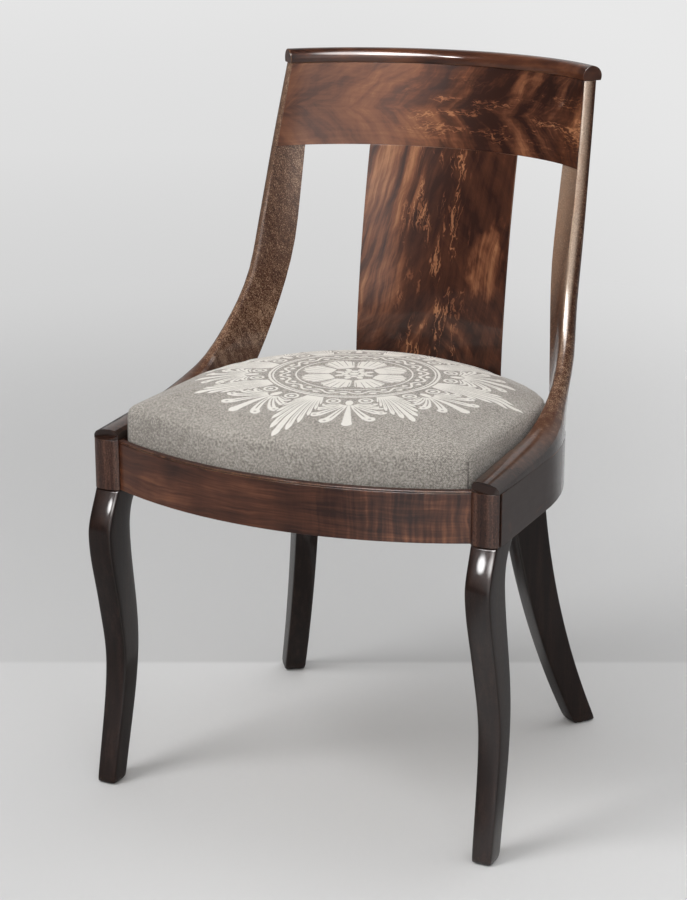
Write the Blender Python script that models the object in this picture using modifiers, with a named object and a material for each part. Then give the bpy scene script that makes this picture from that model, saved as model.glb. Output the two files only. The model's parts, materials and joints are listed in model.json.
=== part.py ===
"""Gondola side chair: a barrel-backed frame with a drop-in slip seat.

The chair faces -Y and stands on z = 0. Every piece is laid out on one seat plan, and a root
empty then carries the plan so that the chair stands centred over the origin.
"""

import math

import bmesh
import bpy
from mathutils import Matrix, Vector

# Driving dimensions, in metres.
CLEARANCE = 0.0003
VENEER = 0.0012

RAIL_BOTTOM = 0.3555
RAIL_HEIGHT = 0.0570
CREST_BOTTOM = 0.6890
CREST_HEIGHT = 0.0945
CREST_THICKNESS = 0.0145

# The seat well: straight sides, then half an ellipse round the back.
WELL_HALF_WIDTH = 0.2085
WELL_DEPTH = 0.1880
WELL_CENTRE = 0.0175
LEDGE_WIDTH = 0.0120
REBATE_DEPTH = 0.0200

# The barrel back leans and flares above the seat.
WALL_BASE = 0.4500
WALL_RISE = 0.3300
BACK_FLARE = 0.0424
FLARE_HOLD = 0.5000
FLARE_EASE = 1.4000
BACK_RAKE = 0.0172
BACK_CURL = 0.0408

# The outer face of the side and rear rails: a longer ellipse, centred ahead of the well's.
RAIL_SIDE_LIP = 0.0329
RAIL_BACK_LIP = 0.0145
RAIL_LEAD = 0.0615
RAIL_JOINT_ANGLE = math.radians(60)
RAIL_BEND_LEAD = 0.0080
SIDE_VENEER_SETBACK = 0.0040

# The bowed front rail, between the two front posts.
FRONT_BOW = 0.0495
FRONT_CENTRE = -0.2335
FRONT_LIP = 0.0065
BEAD_HEIGHT = 0.0026
BEAD_PROUD = 0.0008
TENON_LENGTH = 0.0150
TENON_HEIGHT = 0.0260
TENON_THICKNESS = 0.0090

# Front posts, half columns over the legs.
POST_FRONT = -0.1840
POST_BULGE = 0.0060
POST_ROUNDNESS = 0.94
POST_DEPTH = 0.0450
POST_STEP = 0.0010

# Front legs, sawn to a gentle double curve and tapered on the inside.
LEG_FOOT_WIDTH = 0.0240
LEG_FOOT_SPLAY = 0.0050
LEG_EDGE = 0.0032
LEG_PIN = 0.0160
LEG_PIN_LENGTH = 0.0300
LEG_PIN_SETBACK = 0.0180
LEG_TOP_FRONT = 0.0035
LEG_SWELL = 0.0015
NECK_DROP = 0.0200
NECK_SETBACK = 0.0170
KNEE_HEIGHT = 0.3050
KNEE_FRONT = 0.0230
KNEE_BACK_HEIGHT = 0.3000
KNEE_DEPTH = 0.0465
ANKLE_HEIGHT = 0.1400
ANKLE_SETBACK = 0.0100
ANKLE_BACK_HEIGHT = 0.1550
ANKLE_DEPTH = 0.0330
FOOT_FRONT = 0.0140
FOOT_DEPTH = 0.0275

# Rear sabre legs, each sawn in an upright plane turned out from the back.
SABRE_TURN = math.radians(36)
SABRE_OFFSET_SHARE = 0.1877
SABRE_WIDTH = 0.0300
SABRE_TAPER = 0.0025
SABRE_SPLAY = 0.0035
SABRE_RADIUS = 0.9990
SABRE_LEAN = math.radians(3)
SABRE_TOP_DEPTH = 0.0500
SABRE_FOOT_DEPTH = 0.0315
SABRE_PIN_RADIUS = 0.0075
SABRE_PIN_LENGTH = 0.0280
SABRE_PIN_SETBACK = 0.0120
SABRE_PIN_ROUND = 0.45

# Stiles: an arm along the side rail that sweeps up into the back.
NOSE_HEIGHT = 0.0078
NOSE_FRONT = 0.0030
NOSE_BULGE = 0.0045
ARM_SLOPE = math.radians(2.7)
SWEEP_RADIUS = 0.2000
STILE_LEAN = math.radians(18)
STILE_TOP_FRONT = 0.1938
STILE_REAR_LEAN = math.radians(14)
STILE_TOP_REAR = 0.2105
STILE_REAR_STRAIGHT = 0.1840
STILE_REAR_RADIUS = 0.6200
STILE_THICKNESS = 0.0195
STILE_THIN_FROM = 0.5500
STILE_BLEND = 0.0850
STILE_ROUND = 0.0058
STILE_TOP_ROUND = 0.0015
STILE_SLANT = 0.0075
ARM_SLANT_SHARE = 0.45
SLANT_RISE = 0.0300
STILE_ROUND_FROM = 0.5000
NOSING_SHARES = (0.10, 0.28, 0.50, 0.72, 0.90)

# Crest roll, a bar cut flat underneath.
ROLL_RADIUS = 0.0115
ROLL_HEIGHT = 0.0165
ROLL_OVERHANG = 0.0025
ROLL_END = 0.0018

# Splat.
SPLAT_HALF_WIDTH = 0.0948
SPLAT_THICKNESS = 0.0095
SPLAT_TENON = 0.0160
SPLAT_TENON_SHARE = 0.72
SPLAT_SHOULDER = 0.0022
SPLAT_BEVEL = 0.0090

# Glue blocks under the slip seat, and dowels.
BLOCK_HEIGHT = 0.0300
BLOCK_SETBACK = 0.0006
FRONT_BLOCK_REACH = 0.0460
REAR_BLOCK_SPREAD = math.radians(14)
REAR_BLOCK_REACH = 0.0400
DOWEL_RADIUS = 0.0040
DOWEL_LENGTH = 0.0260
STILE_DOWEL_PLACES = (-0.0950, 0.0300)
STILE_DOWEL_SHARE = 0.45
STILE_DOWEL_SINK = 0.22
CREST_DOWEL_SHARES = (0.25, 0.72)

# Slip seat.
SEAT_INSET = 0.0030
SEAT_FRONT_INSET = 0.0022
COVER_THICKNESS = 0.0018
COVER_HEM = 0.0016
COVER_EDGE_HEIGHT = 0.0405
COVER_CROWN = 0.0160
COVER_FALL = 0.0150
FALL_REACH = 0.1100
FALL_START = -0.0300
FALL_END = 0.1400
COVER_DRAW = 0.0016
DRAW_REACH = 0.1200
EDGE_ROUND = 0.0140
EDGE_FALL = 0.0120
EDGE_SIDE = 0.0180
EDGE_BAND = 0.0200
CROWN_STEPS = ((0.035, 0.42), (0.075, 0.78), (0.125, 0.95))
PAD_SLACK = 0.0006
FRAME_SLACK = 0.0014
CROWN_CENTRE = Vector((0.0, -0.0100))
SLIP_MEMBER = 0.0440
SLIP_THICKNESS = 0.0196
SLIP_TENON = 0.0180
WEB_WIDTH = 0.0500
WEB_THICKNESS = 0.0009
WEB_PITCH = 0.0740
WEB_MIDDLE = -0.0100
WEB_FLAT = 0.0270
WEB_MARGIN = 0.0080
HESSIAN_THICKNESS = 0.0010
HESSIAN_MARGIN = 0.0100

# Heights and places that follow from the dimensions above.
RAIL_HALF_WIDTH = WELL_HALF_WIDTH + RAIL_SIDE_LIP
RAIL_CENTRE = WELL_CENTRE - RAIL_LEAD
RAIL_DEPTH = WELL_DEPTH + RAIL_LEAD + RAIL_BACK_LIP
RAIL_TOP = RAIL_BOTTOM + RAIL_HEIGHT
LEDGE_TOP = RAIL_TOP - REBATE_DEPTH
CREST_TOP = CREST_BOTTOM + CREST_HEIGHT
ROLL_BOTTOM = CREST_TOP + CLEARANCE
SKIN = VENEER + CLEARANCE
POST_INNER = WELL_HALF_WIDTH + POST_STEP
POST_REAR = POST_FRONT + POST_DEPTH
POST_OUTER = RAIL_HALF_WIDTH - SKIN
LEG_TOP_WIDTH = POST_OUTER - POST_INNER
SABRE_OFFSET = RAIL_HALF_WIDTH * SABRE_OFFSET_SHARE
FRONT_RADIUS = (POST_INNER ** 2 + FRONT_BOW ** 2) / (2 * FRONT_BOW)
FRONT_ARC_Y = FRONT_CENTRE + FRONT_RADIUS
SLIP_BOTTOM = LEDGE_TOP + CLEARANCE
SLIP_TOP = SLIP_BOTTOM + SLIP_THICKNESS
COVER_BOTTOM = SLIP_BOTTOM + COVER_HEM
COVER_EDGE = RAIL_TOP + COVER_EDGE_HEIGHT
WEB_CROSS = WEB_THICKNESS + CLEARANCE
WEB_LEVEL = SLIP_TOP + CLEARANCE + WEB_THICKNESS / 2
HESSIAN_BOTTOM = WEB_LEVEL + WEB_CROSS / 2 + WEB_THICKNESS / 2 + CLEARANCE
STUFFING_BOTTOM = HESSIAN_BOTTOM + HESSIAN_THICKNESS + CLEARANCE
FALL_BASE = STUFFING_BOTTOM + COVER_THICKNESS + 2 * PAD_SLACK

# Finishes: base colour, roughness and metallic value.
FINISHES = {
    "figured_mahogany": ((0.115, 0.040, 0.018), 0.22, 0.0),
    "plain_mahogany": ((0.100, 0.037, 0.018), 0.28, 0.0),
    "dark_mahogany": ((0.022, 0.010, 0.007), 0.20, 0.0),
    "secondary_wood": ((0.420, 0.270, 0.140), 0.65, 0.0),
    "jute_web": ((0.450, 0.350, 0.220), 0.95, 0.0),
    "horsehair": ((0.120, 0.095, 0.075), 0.95, 0.0),
    "woven_cloth": ((0.330, 0.300, 0.270), 0.90, 0.0),
}


# Scene set-up
for stale in list(bpy.data.objects):
    bpy.data.objects.remove(stale, do_unlink=True)

chair = bpy.data.collections.new("gondola_side_chair")
cutters = bpy.data.collections.new("gondola_side_chair_cutters")
bpy.context.scene.collection.children.link(chair)
bpy.context.scene.collection.children.link(cutters)


def smoothstep(t):
    """Ease from 0 to 1 with level ends."""
    t = min(max(t, 0.0), 1.0)
    return t * t * (3 - 2 * t)


def spread(start, end, count):
    """Evenly spaced values, both ends included."""
    return [start + (end - start) * i / (count - 1) for i in range(count)]


# The seat plan
def wall(z):
    """Half width and centre of the well's ellipse, which leans and flares above the seat."""
    rise = max(z - WALL_BASE, 0.0) / WALL_RISE
    flare = rise - FLARE_EASE * max(rise - FLARE_HOLD, 0.0) ** 2
    half = WELL_HALF_WIDTH + BACK_FLARE * flare
    centre = WELL_CENTRE + BACK_RAKE * rise + BACK_CURL * rise ** 2
    return half, centre


def wall_by_angle(angle, z, depth=0.0):
    """A point on the barrel wall, by angle from the middle of the back, moved outward by depth."""
    half, centre = wall(z)
    normal = Vector((math.sin(angle) / half, math.cos(angle) / WELL_DEPTH)).normalized()
    x = half * math.sin(angle) + normal.x * depth
    y = centre + WELL_DEPTH * math.cos(angle) + normal.y * depth
    return Vector((x, y, z))


def wall_angle(y, z):
    """The wall's angle where it crosses y, a right angle on the straight sides."""
    centre = wall(z)[1]
    return math.acos(min(max((y - centre) / WELL_DEPTH, 0.0), 1.0))


def wall_by_y(y, z, depth=0.0):
    """A point on the right-hand wall by its y, straight sides included."""
    half, centre = wall(z)
    if y <= centre:
        return Vector((half + depth, y, z))
    return wall_by_angle(wall_angle(y, z), z, depth)


def rail_reach(start, direction):
    """How far a plan point lies from the rails' outer ellipse, along a direction."""
    px, py = start.x / RAIL_HALF_WIDTH, (start.y - RAIL_CENTRE) / RAIL_DEPTH
    dx, dy = direction.x / RAIL_HALF_WIDTH, direction.y / RAIL_DEPTH
    a = dx * dx + dy * dy
    b = px * dx + py * dy
    c = px * px + py * py - 1
    return (math.sqrt(b * b - a * c) - b) / a


def rail_lip(y):
    """Thickness of the rail between the well and its outer face, square to the well."""
    start = wall_by_y(y, RAIL_TOP)
    if start.y <= RAIL_CENTRE:
        return RAIL_HALF_WIDTH - start.x
    normal = (wall_by_y(y, RAIL_TOP, 1.0) - start).normalized()
    return rail_reach(start, normal)


def well_station(place):
    """Well point, outward normal and lip at a place: negative along the side, or an angle."""
    if place < 0:
        y = WELL_CENTRE + place
        return Vector((WELL_HALF_WIDTH, y)), Vector((1.0, 0.0)), rail_lip(y)
    angle = math.pi / 2 - place
    point = wall_by_angle(angle, RAIL_TOP)
    normal = (wall_by_angle(angle, RAIL_TOP, 1.0) - point).normalized()
    return point.xy, normal.xy, rail_lip(point.y)


def front_arc(x, inset):
    """The front rail's y at x, on an arc set back from its visible face."""
    return FRONT_ARC_Y - math.sqrt((FRONT_RADIUS - inset) ** 2 - x * x)


ROOT_SHIFT = -(FRONT_CENTRE - BEAD_PROUD
               + wall_by_angle(0.0, ROLL_BOTTOM, 2 * ROLL_RADIUS - ROLL_OVERHANG).y) / 2
root = bpy.data.objects.new("seat_plan", None)
root.location = (0.0, ROOT_SHIFT, 0.0)
chair.objects.link(root)


# Making pieces
def finish(piece, look, smooth_angle=35):
    """Give a piece its own material, and shade its round faces smooth."""
    colour, roughness, metallic = FINISHES[look]
    material = bpy.data.materials.new(piece.name + "_" + look)
    material.use_nodes = True
    shader = material.node_tree.nodes["Principled BSDF"]
    shader.inputs["Base Color"].default_value = (*colour, 1.0)
    shader.inputs["Roughness"].default_value = roughness
    shader.inputs["Metallic"].default_value = metallic
    piece.data.materials.clear()
    piece.data.materials.append(material)
    piece.data.shade_smooth()
    piece.data.set_sharp_from_angle(angle=math.radians(smooth_angle))
    return piece


def place(name, mesh, collection=chair):
    """Link a mesh as an object carried by the seat plan."""
    piece = bpy.data.objects.new(name, mesh)
    collection.objects.link(piece)
    piece.parent = root
    if collection is cutters:
        piece.hide_render = True
        piece.display_type = "WIRE"
    return piece


def loft(name, rings, collection=chair):
    """A closed solid skinned through rings of points, with a cap on each end."""
    mesh = bpy.data.meshes.new(name)
    form = bmesh.new()
    loops = [[form.verts.new(point) for point in ring] for ring in rings]
    count = len(rings[0])
    for near, far in zip(loops, loops[1:]):
        for i in range(count):
            j = (i + 1) % count
            form.faces.new((near[i], near[j], far[j], far[i]))
    form.faces.new(loops[0])
    form.faces.new(loops[-1])
    bmesh.ops.recalc_face_normals(form, faces=form.faces)
    form.to_mesh(mesh)
    form.free()
    return place(name, mesh, collection)


def plank(name, outline, bottom, top, collection=chair):
    """A flat outline sawn from a board: a filled 2D curve, extruded, then made a mesh."""
    curve = bpy.data.curves.new(name, "CURVE")
    curve.dimensions = "2D"
    curve.fill_mode = "BOTH"
    curve.extrude = (top - bottom) / 2
    spline = curve.splines.new("POLY")
    spline.points.add(len(outline) - 1)
    for point, (x, y) in zip(spline.points, outline):
        point.co = (x, y, 0.0, 1.0)
    spline.use_cyclic_u = True
    drawn = bpy.data.objects.new(name + "_outline", curve)
    chair.objects.link(drawn)
    bpy.context.view_layer.update()
    mesh = bpy.data.meshes.new_from_object(drawn.evaluated_get(bpy.context.evaluated_depsgraph_get()))
    bpy.data.objects.remove(drawn, do_unlink=True)
    bpy.data.curves.remove(curve)
    form = bmesh.new()
    form.from_mesh(mesh)
    bmesh.ops.remove_doubles(form, verts=form.verts, dist=0.00001)
    bmesh.ops.translate(form, verts=form.verts, vec=(0.0, 0.0, (top + bottom) / 2))
    bmesh.ops.recalc_face_normals(form, faces=form.faces)
    form.to_mesh(mesh)
    form.free()
    mesh.name = name
    return place(name, mesh, collection)


def rod(name, centre, direction, radius, length, sides=12, collection=chair):
    """A round pin along a direction."""
    bpy.ops.mesh.primitive_cylinder_add(vertices=sides, radius=radius, depth=length)
    made = bpy.context.object
    mesh = made.data
    turn = Vector((0.0, 0.0, 1.0)).rotation_difference(direction).to_matrix().to_4x4()
    mesh.transform(Matrix.Translation(centre) @ turn)
    bpy.data.objects.remove(made, do_unlink=True)
    mesh.name = name
    return place(name, mesh, collection)


def cut(piece, cutter):
    """Take a cutter's shape out of a piece."""
    hole = piece.modifiers.new("cut_" + cutter.name, "BOOLEAN")
    hole.operation = "DIFFERENCE"
    hole.solver = "EXACT"
    hole.object = cutter


def dowel(name, centre, direction, *mates):
    """A dowel across a joint, with its hole in each mating piece."""
    pin = rod(name, centre, direction, DOWEL_RADIUS, DOWEL_LENGTH)
    finish(pin, "secondary_wood")
    hole = rod(name + "_hole", centre, direction, DOWEL_RADIUS + CLEARANCE,
               DOWEL_LENGTH + 2 * CLEARANCE, collection=cutters)
    for mate in mates:
        cut(mate, hole)


def mirrored(points, side):
    """Points on the chosen side of the chair."""
    return [Vector((side * p[0], p[1], p[2])) for p in points]


def rounded_section(centre, along, across, length, width, edge, z, steps=2):
    """A rectangle with rounded corners, by its centre, two directions and two sizes."""
    points = []
    for turn, (u, v) in enumerate(((1, 1), (-1, 1), (-1, -1), (1, -1))):
        for step in range(steps + 1):
            angle = math.pi / 2 * (turn + step / steps)
            du = u * (length / 2 - edge) + edge * math.cos(angle)
            dv = v * (width / 2 - edge) + edge * math.sin(angle)
            spot = centre + along * du + across * dv
            points.append(Vector((spot.x, spot.y, z)))
    return points


# Front rail, with its veneer and top bead
def build_front_rail():
    """The bowed rail is rebated for the slip seat and tenoned into the posts."""
    lip = FRONT_LIP - SKIN
    reach = POST_INNER - CLEARANCE

    def section(x):
        face = front_arc(x, SKIN)
        step = front_arc(x, SKIN + lip)
        inner = front_arc(x, SKIN + lip + LEDGE_WIDTH)
        heights = ((face, RAIL_BOTTOM), (face, RAIL_TOP), (step, RAIL_TOP),
                   (step, LEDGE_TOP), (inner, LEDGE_TOP), (inner, RAIL_BOTTOM))
        return [Vector((x, y, z)) for y, z in heights]

    middle = (RAIL_BOTTOM + LEDGE_TOP) / 2
    tenon_face = front_arc(reach, SKIN) + (lip + LEDGE_WIDTH - TENON_THICKNESS) / 2

    def tenon(x, grow=0.0):
        front = tenon_face - grow
        back = tenon_face + TENON_THICKNESS + grow
        low = middle - TENON_HEIGHT / 2 - grow
        high = middle + TENON_HEIGHT / 2 + grow
        third = (back - front) / 3
        outline = ((front, low), (front, high), (front + third, high),
                   (front + 2 * third, high), (back, high), (back, low))
        return [Vector((x, y, z)) for y, z in outline]

    tip = reach + TENON_LENGTH
    rings = [tenon(-tip), tenon(-reach)]
    rings += [section(x) for x in spread(-reach, reach, 21)]
    rings += [tenon(reach), tenon(tip)]
    finish(loft("front_rail", rings), "secondary_wood")

    sheet = []
    for x in spread(-reach, reach, 21):
        face, back = front_arc(x, 0.0), front_arc(x, VENEER)
        top = RAIL_TOP - BEAD_HEIGHT - CLEARANCE
        sheet.append([Vector((x, face, RAIL_BOTTOM)), Vector((x, face, top)),
                      Vector((x, back, top)), Vector((x, back, RAIL_BOTTOM))])
    finish(loft("front_rail_veneer", sheet), "figured_mahogany")

    bead = []
    for x in spread(-reach, reach, 21):
        back = front_arc(x, VENEER)
        ring = [Vector((x, back, RAIL_TOP - BEAD_HEIGHT)), Vector((x, back, RAIL_TOP))]
        for angle in spread(math.pi / 2, -math.pi / 2, 5):
            y = front_arc(x, BEAD_HEIGHT / 2 - BEAD_PROUD - BEAD_HEIGHT / 2 * math.cos(angle))
            ring.append(Vector((x, y, RAIL_TOP - BEAD_HEIGHT / 2 + BEAD_HEIGHT / 2 * math.sin(angle))))
        bead.append(ring)
    finish(loft("front_rail_bead", bead), "plain_mahogany")

    tenon_holes = {}
    for side, word in ((-1, "left"), (1, "right")):
        rings = [mirrored(tenon(reach - TENON_LENGTH, CLEARANCE), side),
                 mirrored(tenon(tip + CLEARANCE, CLEARANCE), side)]
        tenon_holes[word] = loft("front_mortise_" + word, rings, cutters)
    return tenon_holes


# Front posts
def build_front_post(word, side, mortise):
    """A half-column block at the corner, over the leg."""
    middle, half = (POST_INNER + POST_OUTER) / 2, (POST_OUTER - POST_INNER) / 2
    outline = [(POST_OUTER, POST_REAR), (POST_INNER, POST_REAR)]
    for t in spread(-1.0, 1.0, 9):
        outline.append((middle + half * t, POST_FRONT - POST_BULGE * math.sqrt(1 - POST_ROUNDNESS * t * t)))
    outline = [(side * x, y) for x, y in outline]
    post = plank("front_post_" + word, outline, RAIL_BOTTOM, RAIL_TOP)
    cut(post, mortise)
    return finish(post, "plain_mahogany")


# Front legs
def curve_through(knots, z):
    """A smooth curve of one value against height, through named knots (height, value)."""
    knots = sorted(knots)
    slopes = []
    for i in range(len(knots)):
        before, after = knots[max(i - 1, 0)], knots[min(i + 1, len(knots) - 1)]
        slopes.append((after[1] - before[1]) / (after[0] - before[0]))
    i = sum(z > height for height, _ in knots[1:-1])
    low, high = knots[i], knots[i + 1]
    span = high[0] - low[0]
    t = (z - low[0]) / span
    ends = (2 * t ** 3 - 3 * t ** 2 + 1) * low[1] + (3 * t ** 2 - 2 * t ** 3) * high[1]
    turns = (t ** 3 - 2 * t ** 2 + t) * slopes[i] + (t ** 3 - t ** 2) * slopes[i + 1]
    return ends + turns * span


def build_front_leg(word, side, post):
    """The leg swells at the knee, draws back at the ankle and steps forward to the foot."""
    top = RAIL_BOTTOM - CLEARANCE
    knee_front = POST_FRONT - KNEE_FRONT
    ankle_front = POST_FRONT + ANKLE_SETBACK
    foot_front = POST_FRONT - FOOT_FRONT
    shin = ((ANKLE_HEIGHT + KNEE_HEIGHT) / 2, (ankle_front + knee_front) / 2 + LEG_SWELL)
    front_knots = [(0.0, foot_front), (ANKLE_HEIGHT, ankle_front), shin,
                   (KNEE_HEIGHT, knee_front), (top, POST_FRONT - LEG_TOP_FRONT)]
    rear_knots = [(0.0, foot_front + FOOT_DEPTH), (ANKLE_BACK_HEIGHT, ankle_front + ANKLE_DEPTH),
                  (KNEE_BACK_HEIGHT, knee_front + KNEE_DEPTH),
                  (top - NECK_DROP, POST_REAR - NECK_SETBACK), (top, POST_REAR)]
    along, across = Vector((1.0, 0.0)), Vector((0.0, 1.0))
    rings = []
    levels = spread(0.0, KNEE_HEIGHT, 13) + spread(KNEE_HEIGHT, top, 6)[1:]
    for z in levels:
        share = z / top
        width = LEG_FOOT_WIDTH + (LEG_TOP_WIDTH - LEG_FOOT_WIDTH) * share
        outer = POST_OUTER + LEG_FOOT_SPLAY * (1 - share)
        front, rear = curve_through(front_knots, z), curve_through(rear_knots, z)
        centre = Vector((outer - width / 2, (front + rear) / 2))
        rings.append(rounded_section(centre, along, across, width, rear - front, LEG_EDGE, z))
    pin_centre = Vector(((POST_INNER + POST_OUTER) / 2, POST_REAR - LEG_PIN_SETBACK))
    pin_top = top + LEG_PIN_LENGTH

    def pin(z, grow=0.0):
        size = LEG_PIN + 2 * grow
        return rounded_section(pin_centre, along, across, size, size, LEG_EDGE, z)

    rings += [pin(top), pin(pin_top)]
    leg = loft("front_leg_" + word, [mirrored(ring, side) for ring in rings])
    socket = loft("leg_socket_" + word,
                  [mirrored(pin(top - LEG_PIN, CLEARANCE), side),
                   mirrored(pin(pin_top + CLEARANCE, CLEARANCE), side)], cutters)
    cut(post, socket)
    return finish(leg, "dark_mahogany")


# Side and rear rails, with their veneers
def rail_rings(places, side=1):
    """Rebated rail sections, square to the well."""
    rings = []
    for spot in places:
        point, normal, lip = well_station(spot)
        face = point + normal * (lip - SKIN)
        inner = point - normal * LEDGE_WIDTH
        ring = [(face, RAIL_BOTTOM), (face, RAIL_TOP), (point, RAIL_TOP),
                (point, LEDGE_TOP), (inner, LEDGE_TOP), (inner, RAIL_BOTTOM)]
        rings.append(mirrored([(p.x, p.y, z) for p, z in ring], side))
    return rings


def veneer_rings(places, side=1):
    """The skin on a rail's outer face."""
    rings = []
    for spot in places:
        point, normal, lip = well_station(spot)
        face, back = point + normal * lip, point + normal * (lip - VENEER)
        ring = [(face, RAIL_BOTTOM), (face, RAIL_TOP), (back, RAIL_TOP), (back, RAIL_BOTTOM)]
        rings.append(mirrored([(p.x, p.y, z) for p, z in ring], side))
    return rings


def build_side_rail(word, side):
    """A side rail runs straight back from the post, then bends to the joint over the rear leg."""
    start = POST_REAR + CLEARANCE - WELL_CENTRE
    joint = math.pi / 2 - RAIL_JOINT_ANGLE
    straight = spread(start, -RAIL_BEND_LEAD, 8)
    bend = spread(0.0, joint, 11)
    rail = finish(loft("side_rail_" + word, rail_rings(straight + bend, side)), "secondary_wood")
    skin_start = POST_FRONT + SIDE_VENEER_SETBACK - WELL_CENTRE
    straight = spread(skin_start, -RAIL_BEND_LEAD, 10)
    finish(loft("side_veneer_" + word, veneer_rings(straight + bend, side)), "figured_mahogany")
    return rail


def build_rear_rail():
    """The rear rail closes the horseshoe between the two joints."""
    joint = math.pi / 2 - RAIL_JOINT_ANGLE
    gap = CLEARANCE / WELL_DEPTH
    places = spread(joint + gap, math.pi - joint - gap, 17)
    rail = finish(loft("rear_rail", rail_rings(places)), "secondary_wood")
    finish(loft("rear_veneer", veneer_rings(places)), "figured_mahogany")
    return rail


# Rear legs
def sabre_point(r, q):
    """Plan point of the right rear leg: r along its plane, q across it."""
    s, c = math.sin(SABRE_TURN), math.cos(SABRE_TURN)
    return Vector((r * s + q * c, r * c - q * s))


def build_rear_leg(word, side, rear_rail):
    """A sabre leg: a swept blade that widens to the rail, with a round pin into it."""
    top = RAIL_BOTTOM - CLEARANCE
    along = sabre_point(1.0, 0.0)
    across = sabre_point(0.0, 1.0)
    middle = SABRE_OFFSET - SABRE_WIDTH / 2
    back_top = rail_reach(sabre_point(0.0, middle), along) - SKIN
    rings = []
    for z in spread(0.0, top, 13):
        drop = top - z
        lean = math.asin(math.sin(SABRE_LEAN) + drop / SABRE_RADIUS)
        back = back_top + SABRE_RADIUS * (math.cos(SABRE_LEAN) - math.cos(lean))
        depth = SABRE_FOOT_DEPTH + (SABRE_TOP_DEPTH - SABRE_FOOT_DEPTH) * z / top
        width = SABRE_WIDTH - SABRE_TAPER * (1 - z / top)
        splay = SABRE_SPLAY * (drop / top) ** 2
        centre = sabre_point(back - depth / 2, SABRE_OFFSET + splay - width / 2)
        rings.append(rounded_section(centre, along, across, depth, width, LEG_EDGE, z))
    pin_centre = sabre_point(back_top - SABRE_PIN_SETBACK, middle)

    def pin(z, grow=0.0):
        size = 2 * (SABRE_PIN_RADIUS + grow)
        return rounded_section(pin_centre, along, across, size, size, size * SABRE_PIN_ROUND, z)

    rings += [pin(top), pin(top + SABRE_PIN_LENGTH)]
    leg = loft("rear_leg_" + word, [mirrored(ring, side) for ring in rings])
    socket = loft("sabre_socket_" + word,
                  [mirrored(pin(top - SABRE_PIN_LENGTH, CLEARANCE), side),
                   mirrored(pin(top + SABRE_PIN_LENGTH + CLEARANCE, CLEARANCE), side)], cutters)
    cut(rear_rail, socket)
    return finish(leg, "dark_mahogany")


# Stiles
def stile_front_stations():
    """Points along the stile's front edge, with the direction across the band at each."""
    nose = Vector((POST_FRONT - NOSE_FRONT, RAIL_TOP + NOSE_HEIGHT))
    arm = Vector((math.cos(ARM_SLOPE), math.sin(ARM_SLOPE)))
    rise = Vector((math.sin(STILE_LEAN), math.cos(STILE_LEAN)))
    top = Vector((STILE_TOP_FRONT, CREST_TOP))
    # The corner where the arm's line meets the stile's line, rounded by the sweep.
    run = (rise.x * (top.y - nose.y) - rise.y * (top.x - nose.x)) / (rise.x * arm.y - rise.y * arm.x)
    corner = nose + arm * run
    turn = math.pi / 2 - STILE_LEAN - ARM_SLOPE
    tangent = SWEEP_RADIUS * math.tan(turn / 2)
    sweep_start = corner - arm * tangent
    centre = sweep_start + Vector((-arm.y, arm.x)) * SWEEP_RADIUS
    stations = [(nose.lerp(sweep_start, t), Vector((arm.y, -arm.x))) for t in spread(0.0, 1.0, 6)]
    for angle in spread(ARM_SLOPE, ARM_SLOPE + turn, 13)[1:]:
        down = Vector((math.sin(angle), -math.cos(angle)))
        stations.append((centre + down * SWEEP_RADIUS, down))
    sweep_end = stations[-1][0]
    across = stations[-1][1]
    stations += [(sweep_end.lerp(top, t), across) for t in spread(0.0, 1.0, 10)[1:-1]]
    return stations, nose, top


def stile_rear(z):
    """The stile's rear edge: straight above, then an arc forward to the rail."""
    tangent_z = CREST_TOP - STILE_REAR_STRAIGHT
    lean = math.tan(STILE_REAR_LEAN)
    if z >= tangent_z:
        return STILE_TOP_REAR - (CREST_TOP - z) * lean
    tangent_y = STILE_TOP_REAR - STILE_REAR_STRAIGHT * lean
    start = STILE_REAR_LEAN
    angle = math.asin(math.sin(start) + (tangent_z - z) / STILE_REAR_RADIUS)
    return tangent_y - STILE_REAR_RADIUS * (math.cos(start) - math.cos(angle))


def across_band(front, direction):
    """Where a line from the front edge meets the rail's top or the stile's rear edge."""
    foot = RAIL_TOP + CLEARANCE
    reach = 0.5
    if direction.y < 0:
        reach = min(reach, (foot - front.y) / direction.y)
    end = front + direction * reach
    if end.x <= stile_rear(end.y):
        return end
    near, far = 0.0, reach
    for _ in range(40):
        half = (near + far) / 2
        spot = front + direction * half
        if spot.x <= stile_rear(spot.y):
            near = half
        else:
            far = half
    return front + direction * near


def stile_thickness(y, z):
    """Flush with the rail at the foot, easing to the stile's own thickness above."""
    share = smoothstep((z - RAIL_TOP) / STILE_BLEND)
    foot = rail_lip(min(y, stile_rear(RAIL_TOP)))
    thin = smoothstep((z - STILE_THIN_FROM) / (CREST_BOTTOM - STILE_THIN_FROM))
    own = STILE_THICKNESS + (CREST_THICKNESS - STILE_THICKNESS) * thin
    return foot + (own - foot) * share


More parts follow.
